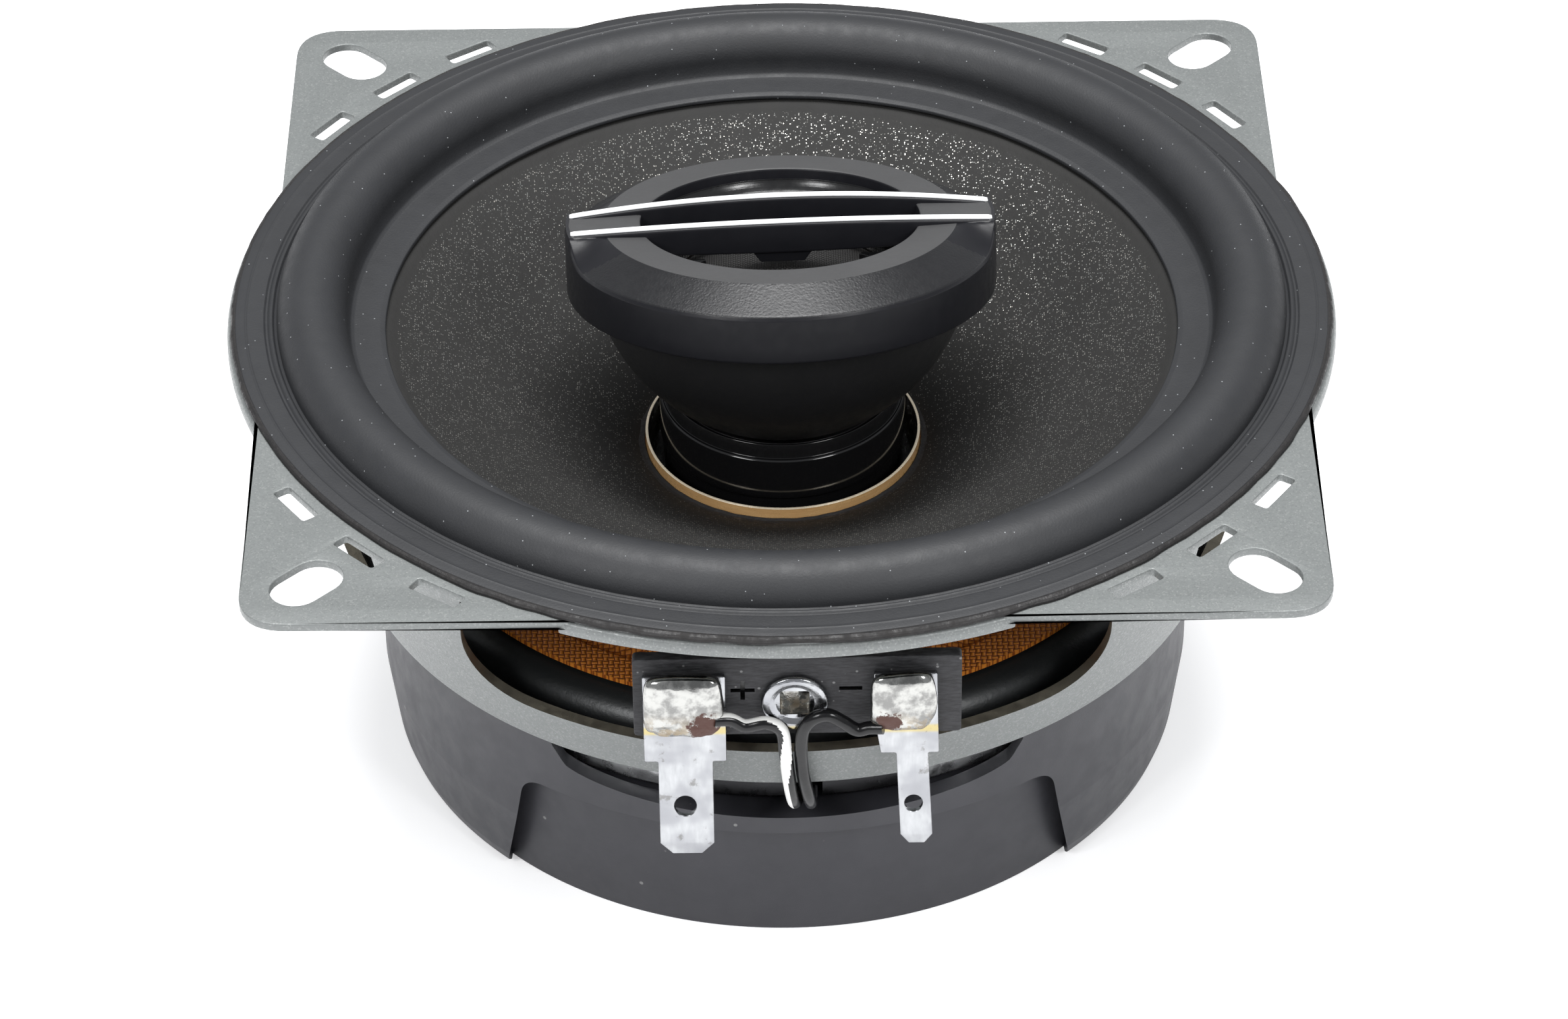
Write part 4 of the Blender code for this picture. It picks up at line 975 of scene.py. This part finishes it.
def boot():
    """Rubber cover with rounded edges, the lead opening and the recessed front panel."""
    profile = [
        (0.0, 1.0), (34.3, 1.0), (34.3, 15.5), (36.7, 15.8), (36.7, 21.2), (38.0, 21.2),
        (38.3, 20.9), (38.3, 8.5), (37.5, 2.0), (37.1, 0.8), (36.4, 0.15), (35.6, 0.0), (0.0, 0.0),
    ]
    item = turned("magnet_boot_rubber", profile, "boot_rubber", closed=False, rounding=0.6)
    opening = [(-21.9, 22.5), (-21.3, 19.0), (-20.4, 17.6)]
    opening += [(20.4 * math.sin(math.radians(angle)), 17.6 - 2.1 * math.cos(math.radians(angle)))
                for angle in range(-80, 81, 4)]
    opening += [(20.4, 17.6), (21.3, 19.0), (21.9, 22.5)]
    lead_gap = plate("lead_gap", [opening], -45.0, -25.0, "boot_rubber", upright=True)
    panel = softened([(-26.4, -1.0), (26.4, -1.0), (24.1, 13.7), (-24.1, 13.7)], 2.5, steps=12)
    recess = plate("recess", [panel], -45.0, -20.0, "boot_rubber", upright=True)
    core = [(0.0, 20.0), (36.9, 20.0), (36.6, 13.0), (35.7, 0.5), (35.6, -2.0), (0.0, -2.0)]
    cut(recess, turned("recess_core", core, "boot_rubber", closed=False, rounding=0.4))
    cut(item, lead_gap, recess)
    soft_edge = item.modifiers.new("Soft edges", "BEVEL")
    soft_edge.width = 0.5 * MM
    soft_edge.segments = 3
    soft_edge.limit_method = "ANGLE"
    soft_edge.angle_limit = math.radians(40.0)
    soft_edge.harden_normals = True
    return stand_for(item, "root", ["magnet_boot"])


# ---------------------------------------------------------------- terminals and leads


def board():
    """Fibre board with sunk polarity marks, and the eyelet that holds it."""
    outline = softened([(-13.45, 30.6), (15.15, 30.7), (15.15, 39.2), (-13.45, 39.1)], 0.45, steps=4)
    item = plate("terminal_board_fibre", [outline, circle(EYELET_BORE, EYELET)],
                 BOARD_FRONT, BOARD_FRONT + 1.2, "board_fibre", 0.1, True)
    x, z = -3.9, 35.6
    strokes = [rectangle(x - 1.05, x + 1.05, z - 0.2, z + 0.2),
               rectangle(x - 0.2, x + 0.2, z - 1.05, z + 1.05),
               rectangle(4.5, 6.5, 35.5, 35.9)]
    front, floor = BOARD_FRONT - 1.0, BOARD_FRONT + 0.8
    # The marks' cut faces take the near-black guard plastic: painted shade in the sunk pockets.
    marks = [plate(f"mark_{i}", [stroke], front, floor, "guard_plastic", upright=True)
             for i, stroke in enumerate(strokes)]
    stand_for(cut(item, *marks), "root", ["terminal_board"])

    profile = [(0.0, 0.3), (1.7, 0.34), (2.2, 0.6), (2.5, 0.68), (2.8, 0.56), (2.95, 0.34), (2.9, 0.1)]
    profile += [(1.9, 0.08), (1.9, -2.95), (2.8, -2.95), (2.8, -3.55), (0.0, -3.55)]
    middle = Matrix.Translation((EYELET[0], BOARD_FRONT, EYELET[1]))
    upright = middle @ Matrix.Rotation(math.pi / 2, 4, "X")
    line = softened(profile, 0.25, False, 4)
    rivet = turned("board_eyelet", line, "tinned_metal", 96, False, 0, upright)
    (x, z), half = EYELET, 1.3
    hole = softened(rectangle(x - half, x + half, z - half, z + half), 0.25)
    square = plate("square_hole", [hole], -47.0, BOARD_FRONT + 1.1, "solder", upright=True)
    cut(rivet, square)
    return stand_for(rivet, "root", ["board_rivet"])


def blades():
    """Two stamped tabs with coined edges."""
    positive = [
        (-12.6, 37.6), (-12.6, 28.1), (-11.4, 28.1), (-11.4, 18.7), (-10.3, 17.5), (-7.7, 17.5),
        (-6.6, 18.7), (-6.6, 28.1), (-5.4, 28.1), (-5.4, 37.6),
    ]
    negative = [
        (7.5, 37.7), (7.5, 33.0), (8.1, 28.8), (9.45, 28.8), (9.85, 19.4), (10.6, 18.4), (12.0, 18.4),
        (12.7, 19.4), (12.25, 28.8), (13.2, 28.8), (13.0, 37.7),
    ]
    tabs = (("positive", positive, 0.98, -9.1), ("negative", negative, 0.8, 11.0))
    for name, outline, reach, across in tabs:
        hole = [(across + x, 23.0 + 1.18 * z) for x, z in circle(reach, (0.0, 0.0))]
        item = plate(name + "_blade", [softened(outline, 0.18, steps=3), hole],
                     BLADE_FRONT, BLADE_FRONT + BLADE_SHEET, "tinned_metal", 0.1, True)
        stand_for(item, "root", [name + "_terminal"])


def solder(name, low, high, node, seed):
    """A pillow of solder with rounded shoulders and a wrinkled foot."""
    points = []
    rows, columns = 48, 96
    middle = [(a + b) / 2 for a, b in zip(low, high)]
    half = [(b - a) / 2 for a, b in zip(low, high)]

    def power(value, exponent):
        return math.copysign(abs(value) ** exponent, value)

    for i in range(rows + 1):
        rise = -math.pi / 2 + math.pi * i / rows
        for k in range(columns):
            turn = 2.0 * math.pi * k / columns
            out = power(math.cos(rise), 0.55)
            points.append((
                middle[0] + half[0] * out * power(math.cos(turn), 0.42),
                middle[1] + half[1] * power(math.sin(rise), 0.8),
                middle[2] + half[2] * out * power(math.sin(turn), 0.5),
            ))
    item = build(name, points, quads(rows, columns), ["solder"], 60.0)
    roughened(item, 0.35, 2.6, seed, lambda co: 0.6 if co.z > 34.0 else 1.0)
    roughened(item, 0.12, 0.7, seed + 1, lambda co: 0.2 if co.z > 34.0 else 1.0)
    return stand_for(item, "root", [node])


def leads():
    """Tweeter leads, soldered to the blades and led over the band into the boot."""

    def band(station):
        """The stripe lies on top of the level run and turns to the left side below the bend."""
        share = min(max((station - 22) / 30, 0.0), 1.0)
        return 0.68 + 0.54 * share

    def hidden(x, side):
        """From the boot's edge under the yoke and up inside the stem."""
        course = [(x, -36.8, 17.9), (x, -34.8, 17.0), (x, -33.65, 15.6), (x, -33.4, 13.0)]
        course += [(x, -33.4, 6.0), (x, -33.0, 3.6), (x, -31.4, 2.1), (x, -28.0, 2.05)]
        course += [(x, -18.0, 2.05), (x, -8.0, 2.05)]
        course += [(x - 0.55, -4.4, 2.05), (x - 1.15, -1.6, 2.3), (side, -0.3, 3.8)]
        return course + [(side, 0.0, height) for height in (6.5, 14.0, 24.0, 34.0, 41.1)]

    striped = [
        (-6.4, -46.4, 33.7), (-5.0, -46.15, 33.5), (-3.7, -46.15, 32.8), (-1.9, -46.15, 33.1),
        (-0.6, -45.95, 32.1), (-0.25, -45.4, 29.4), (-0.05, -44.6, 26.4), (0.2, -43.3, 23.2),
        (0.5, -41.6, 20.3), (0.75, -39.4, 18.6),
    ]
    striped += hidden(0.75, -0.63)
    plain = [
        (8.3, -46.4, 32.6), (7.1, -46.15, 32.4), (6.0, -46.15, 32.2), (4.8, -46.15, 33.1),
        (3.5, -46.15, 33.9), (2.2, -46.15, 33.5), (1.35, -45.95, 32.1), (1.12, -45.4, 29.7),
        (1.2, -44.5, 26.9), (1.4, -43.6, 24.4), (1.9, -41.8, 20.6), (2.05, -39.6, 18.6),
    ]
    plain += hidden(2.05, 0.63)
    item = tube("tweeter_lead_striped_jacket", catmull(striped, 8), JACKET,
                ["jacket_black", "jacket_white"], 32, stripe=band)
    stand_for(item, "root", ["tweeter_lead_striped"])
    item = tube("tweeter_lead_plain_jacket", catmull(plain, 8), JACKET, ["jacket_black"], 24)
    stand_for(item, "root", ["tweeter_lead_plain"])


# ---------------------------------------------------------------- stem and swivel


def below_ball(radius, sphere):
    """Height of a sphere's lower side about the ball's centre at a distance from the axis."""
    return BALL_CENTRE.z - math.sqrt(sphere * sphere - radius * radius)


def stem():
    """Glossy post with its thin ring groove, and the hardware that clamps the ball."""
    outer = [(10.6, 36.8), (10.85, 36.9), (11.0, 36.2), (11.1, 35.5), (11.3, 35.5), (11.45, 35.35)]
    outer += [(11.45, 31.5), (11.42, 31.2), (11.2, 31.1), (11.15, 30.9), (11.15, 21.5), (3.9, 21.5)]
    outer += [(3.9, 3.2)]
    inner = [(2.7, 3.2), (2.7, 23.2), (9.9, 23.2)]
    inner += [(radius, below_ball(radius, 20.6)) for radius in (9.9, 8.0, 6.5, 4.5, 2.2)]
    dish = [(radius, below_ball(radius, 19.0)) for radius in (2.2, 3.5, 5.0, 6.5, 8.0, 9.5, 10.6)]
    post = turned("tweeter_stem_post", outer + inner + dish, "stem_plastic", rounding=0.12)
    stand_for(post, "root", ["tweeter_stem"])
    bolt = [(1.35, 40.9), (2.6, 40.9), (3.2, 40.4), (3.2, 39.4), (1.9, 39.4), (1.9, 27.8), (1.35, 27.8)]
    stand_for(turned("swivel_bolt_steel", bolt, "zinc_steel", 64), "root", ["swivel_bolt"])
    shells = (("swivel_saddle_shell", 14.8, 15.8, 2.2, 8.0, "root", "swivel_saddle"),
              ("swivel_seat_shell", 17.9, 18.7, 8.2, 10.3, "swivel_seat", "swivel_seat_ring"))
    for name, low, high, start, end, body, node in shells:
        spread = [start + (end - start) * k / 12 for k in range(13)]
        profile = [(radius, below_ball(radius, high)) for radius in reversed(spread)]
        profile += [(radius, below_ball(radius, low)) for radius in spread]
        stand_for(turned(name, profile, "ball_plastic", MEDIUM, rounding=0.1), body, [node])
    coil = [(2.7 * math.cos(math.pi * k / 18), 2.7 * math.sin(math.pi * k / 18), 37.25 + 1.6 * k / 90)
            for k in range(91)]
    spring = tube("swivel_spring_wire", [Vector(point) for point in coil], 0.5, ["zinc_steel"], 12,
                  (1.0, 0.0, 0.0))
    stand_for(spring, "root", ["swivel_spring"])
    body = [(0.0, 28.2), (2.2, 28.2), (2.5, 27.9), (2.5, 23.9), (2.2, 23.6), (0.0, 23.6)]
    capacitor = turned("crossover_capacitor_body", body, "capacitor_sleeve", 96, False,
                       place=Matrix.Translation((0.0, 6.2, 0.0)))
    stand_for(capacitor, "root", ["crossover_capacitor"])
    head = [(0.0, 24.0), (2.0, 24.0), (2.8, 23.6), (3.0, 23.0), (1.6, 23.0), (1.6, 16.2), (0.0, 16.2)]
    for i in range(4):
        angle = math.radians(45.0 + 90.0 * i)
        place = Matrix.Translation((26.0 * math.cos(angle), 26.0 * math.sin(angle), 0.0))
        rivet = turned(f"staking_rivet_{i + 1}_head", head, "zinc_steel", 64, False, 0.4, place)
        stand_for(rivet, "root", [f"staking_rivet_{i + 1}"])


# ---------------------------------------------------------------- tweeter


def ball():
    outer = arc(17.6, 0.65, -67.5, 48)
    inner = arc(16.1, -67.5, 0.7, 32)
    item = turned("tweeter_ball_shell", outer + inner, "ball_plastic", rounding=0.1, place=TWEETER)
    return stand_for(item, "tweeter", ["tweeter_ball"])


def bar_shape(name, side, low, high, width, look, arch_low, half=BAR_HALF, edge=0.25):
    """A bar across the cap that bows outwards and arches up, with rounded long edges."""
    section = softened(rectangle(-width / 2, width / 2, low, high), edge, steps=4)
    points = []
    stations = 120
    middle_height = (low + high) / 2
    for i in range(stations + 1):
        u = -1.0 + 2.0 * i / stations
        end = min(1.0, (1.0 - abs(u)) * half / 0.35)
        pinch = 0.75 + 0.25 * math.sqrt(max(0.0, 1.0 - (1.0 - end) ** 2))
        crown = 1.0 - u * u
        for across, up in section:
            arch = BAR_ARCH * crown if (up > middle_height or arch_low) else 0.0
            points.append((u * half, side * (BAR_OFFSET + BAR_BOW * crown) + across * pinch,
                           middle_height + (up - middle_height) * pinch + arch))
    faces = quads(stations, len(section)) + ends(len(points), len(section))
    return build(name, points, faces, [look], 50.0, TWEETER)


def cap():
    """Trim ring whose sloping face swells up into the ends of the bar."""
    slope = [(16.2 + 3.35 * k / 14, 3.0 - 1.9 * k / 14) for k in range(1, 14)]
    profile = [(12.77, 3.0), (14.5, 3.0), (16.2, 3.0)] + slope
    profile += [(19.55, 1.1), (19.7, 0.7), (19.7, -0.6), (19.7, -2.0), (19.7, -3.4), (18.0, -3.4)]
    profile += [(18.0, 0.6), (13.9, 1.4), (13.9, -0.6), (12.5, -0.6), (12.6, 1.2)]
    rounded = softened(profile, 0.28)
    points, faces = turned_mesh(rounded, 420)
    lifted = []
    for x, y, height in points:
        radius = math.hypot(x, y)
        if height > -1.5 and radius > 16.0 and abs(x) > 12.0:
            near = max(0.0, min(1.0, (7.6 - abs(y)) / 4.3))
            share = near ** 2.4
            side = max(0.0, min(1.0, (abs(x) - 12.9) / 1.5))
            if height > 0.0:
                target = 3.0 if height > 0.75 else height + 1.6
            else:
                target = height + 0.6 * (height + 1.5) / 1.5
            height += (target - height) * share * side
        lifted.append((x, y, height))
    looks = []
    for face in faces:
        centre = sum((Vector(points[i]) for i in face), Vector()) / len(face)
        radius = math.hypot(centre.x, centre.y)
        raised = abs(centre.x) > 12.9 and abs(centre.y) < 7.2
        on_slope = 16.25 < radius < 19.6 and centre.z > 0.9 and not raised
        on_face = centre.z > 2.9 and radius <= 16.25
        looks.append(1 if on_slope else 2 if on_face else 0)
    ring = build("tweeter_cap_ring", lifted, faces, ["cap_plastic", "cap_grain", "cap_face"],
                 40.0, TWEETER, looks)
    parts = [bar_shape("rib_" + name, side, 1.1, 3.03, 1.5, "cap_plastic", False)
             for name, side in (("front", -1), ("rear", 1))]
    for name, sign in (("left", -1), ("right", 1)):
        block = softened([(12.9, -3.3), (19.15, -3.3), (19.4, 0.0), (19.15, 3.3), (12.9, 3.3)], 0.5)
        outline = [(sign * x, y) for x, y in block]
        parts.append(onto_tweeter(plate("shoulder_" + name, [outline], 0.8, 3.02, "cap_face", 0.15)))
    tab = softened([(-2.0, 0.1), (2.0, 0.1), (3.1, 1.6), (-3.1, 1.6)], 0.2, steps=3)
    joined(ring, *parts, onto_tweeter(plate("bar_tab", [tab], -3.6, -2.2, "cap_plastic", 0.12, True)))
    stand_for(shaded(ring, 40.0), "tweeter", ["tweeter_cap"])
    for name, side in (("front", -1), ("rear", 1)):
        stripe = bar_shape("stripe_" + name, side, 2.98, 3.16, 0.9, "stripe_trim", True, edge=0.07)
        stand_for(stripe, "tweeter", ["cap_stripe_" + name])


def guard():
    """Ring inside the cap with eight pointed teeth over the dome's edge."""
    profile = [(10.6, 0.5)] + arc(2.2, -80.0, -12.0, 14, (10.25, 2.6))
    profile += [(12.2, 0.4), (12.2, -2.8), (11.85, -2.8), (11.85, -0.5), (10.6, -0.5)]
    item = turned("dome_guard_ring", profile, "guard_plastic", 200, rounding=0.08, place=TWEETER)
    teeth = []
    for index in range(8):
        turn = Matrix.Rotation(math.radians(22.5 + 45.0 * index), 4, "Z")
        outline = softened([(11.2, -1.7), (11.2, 1.7), (7.6, 0.22), (7.6, -0.22)], 0.2, steps=3)
        tooth = plate(f"tooth_{index}", [outline], -0.3, 0.35, "guard_plastic", 0.12)
        teeth.append(onto_tweeter(tooth, turn))
    joined(item, *teeth)
    return stand_for(shaded(item), "tweeter", ["dome_guard"])


def dome():
    """Cloth dome, its half-roll suspension and the parts under them."""
    base, rise, top = 9.5, 2.2, -0.3
    sphere = (base**2 + rise**2) / (2 * rise)
    spread = [base * k / 28 for k in range(29)]
    outside = [(r, top - sphere + math.sqrt(sphere**2 - r * r)) for r in spread]
    inside = [(r, height - 0.35) for r, height in reversed(outside)]
    skin = turned("tweeter_dome_skin", outside + inside, "dome_cloth", MEDIUM, False, 0, TWEETER, 50.0)
    stand_for(skin, "tweeter_diaphragm", ["tweeter_dome"])

    roll = [(9.8, -2.5), (10.0, -2.42)] + arc(0.42, 170.0, 10.0, 12, (10.5, -2.42))
    roll += [(11.0, -2.5), (11.6, -2.5)]
    under = [(r, height - 0.22) for r, height in reversed(roll)]
    points, faces = turned_mesh(under + roll, MEDIUM)
    distances = [math.hypot(x, y) for x, y, height in points]
    cloth = build("dome_suspension_roll", points, faces, ["dome_cloth"], 50.0, TWEETER)
    follow(cloth, distances)
    stand_for(cloth, None, ["dome_suspension"])

    parts = (
        ("tweeter_yoke_cup", "tweeter", "tweeter_yoke", "zinc_steel", False,
         [(0.0, -6.8), (9.9, -6.8), (9.9, -4.2), (11.4, -4.2), (11.4, -7.6), (11.0, -8.0), (0.0, -8.0)]),
        ("tweeter_magnet_disc", "tweeter", "tweeter_magnet", "zinc_steel", False,
         [(0.0, -5.0), (8.0, -5.0), (8.0, -6.5), (0.0, -6.5)]),
        ("tweeter_pole_disc", "tweeter", "tweeter_pole_plate", "zinc_steel", False,
         [(0.0, -3.9), (8.6, -3.9), (8.6, -4.7), (0.0, -4.7)]),
        ("tweeter_chassis_ring", "tweeter", "tweeter_chassis", "ball_plastic", True,
         [(11.0, -3.1), (15.3, -3.1), (15.3, -3.9), (11.0, -3.9)]),
        ("tweeter_coil_winding", "tweeter_diaphragm", "tweeter_coil", "copper_wire", True,
         [(9.5, -3.15), (9.5, -5.9), (9.1, -5.9), (9.1, -3.15)]),
    )
    for name, body, node, look, closed, profile in parts:
        stand_for(turned(name, profile, look, MEDIUM, closed, 0.12, TWEETER), body, [node])
    for name, side in (("left", -1), ("right", 1)):
        route = [(side * 1.2, 0, -8.8), (side * 5, 0, -8.8), (side * 9, 0, -8.75), (side * 11.4, 0, -8.4),
                 (side * 12.25, 0, -7.2), (side * 12.25, 0, -5.6), (side * 12.25, 0, -4.3)]
        wire = tube("tweeter_pigtail_" + name + "_jacket", catmull(route, 8), 0.7, ["jacket_black"], 14,
                    place=TWEETER)
        stand_for(wire, "tweeter", ["tweeter_pigtail_" + name])


# ---------------------------------------------------------------- stage


def stage():
    """Pale floor, overhead soft boxes and the camera at the photograph's angle."""
    size = 4000.0
    corners = [(-size, -size, 0.0), (size, -size, 0.0), (size, size, 0.0), (-size, size, 0.0)]
    floor = build("floor", corners, [(0, 1, 2, 3)], ["pale_floor"])
    floor.location.z = -0.02 * MM

    world = bpy.data.worlds.new("studio")
    bpy.context.scene.world = world
    world.use_nodes = True
    world.node_tree.nodes["Background"].inputs["Color"].default_value = (0.95, 0.97, 1.0, 1.0)
    world.node_tree.nodes["Background"].inputs["Strength"].default_value = 0.5

    def soft_box(name, place, aim, size_x, size_y, power, tint=(1.0, 1.0, 1.0)):
        data = bpy.data.lights.new(name, "AREA")
        data.shape = "RECTANGLE"
        data.size = size_x
        data.size_y = size_y
        data.energy = power
        data.color = tint
        lamp = linked(name, data)
        lamp.location = place
        lamp.rotation_euler = (Vector(aim) - Vector(place)).to_track_quat("-Z", "Y").to_euler()

    soft_box("overhead", (0.0, 0.08, 0.8), (0.0, 0.0, 0.03), 0.5, 0.35, 9.0)
    soft_box("left_front", (-0.45, -0.55, 0.6), (0.0, 0.0, 0.03), 0.25, 0.25, 3.0)
    soft_box("right_front", (0.45, -0.55, 0.6), (0.0, 0.0, 0.03), 0.25, 0.25, 3.0)

    data = bpy.data.cameras.new("camera")
    data.lens = CAMERA_LENS
    data.sensor_width = 36.0
    data.clip_start = 0.01
    camera = linked("camera", data)
    turn, pitch, roll = (math.radians(value) for value in CAMERA_ANGLES)
    ahead = math.cos(pitch)
    forward = Vector((math.sin(turn) * ahead, math.cos(turn) * ahead, -math.sin(pitch)))
    level = Vector((math.cos(turn), -math.sin(turn), 0.0))
    down = forward.cross(level)
    right = math.cos(roll) * level + math.sin(roll) * down
    up = math.sin(roll) * level - math.cos(roll) * down
    axes = Matrix((right, up, -forward)).transposed().to_4x4()
    camera.matrix_world = Matrix.Translation(CAMERA_PLACE * MM) @ axes
    bpy.context.scene.camera = camera
    bpy.context.scene.view_settings.view_transform = "Standard"


def finish_cad_nodes():
    """The CAD nodes that still show, the nuts, get their finish."""
    for name in ("stem_lock_nut", "swivel_nut"):
        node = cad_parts[name]
        node.data.materials.clear()
        node.data.materials.append(LOOKS["zinc_steel"])


def main():
    stage()
    basket()
    adhesive()
    surround()
    cone()
    former()
    spider()
    tinsel_leads()
    motor()
    boot()
    board()
    blades()
    solder("solder_pad_positive", (-12.55, -47.0, 31.9), (-5.5, -45.1, 38.4), "solder_joint_positive", 31)
    solder("solder_pad_negative", (7.25, -46.9, 32.1), (12.9, -45.1, 38.4), "solder_joint_negative", 41)
    leads()
    stem()
    ball()
    cap()
    guard()
    dome()
    finish_cad_nodes()


main()
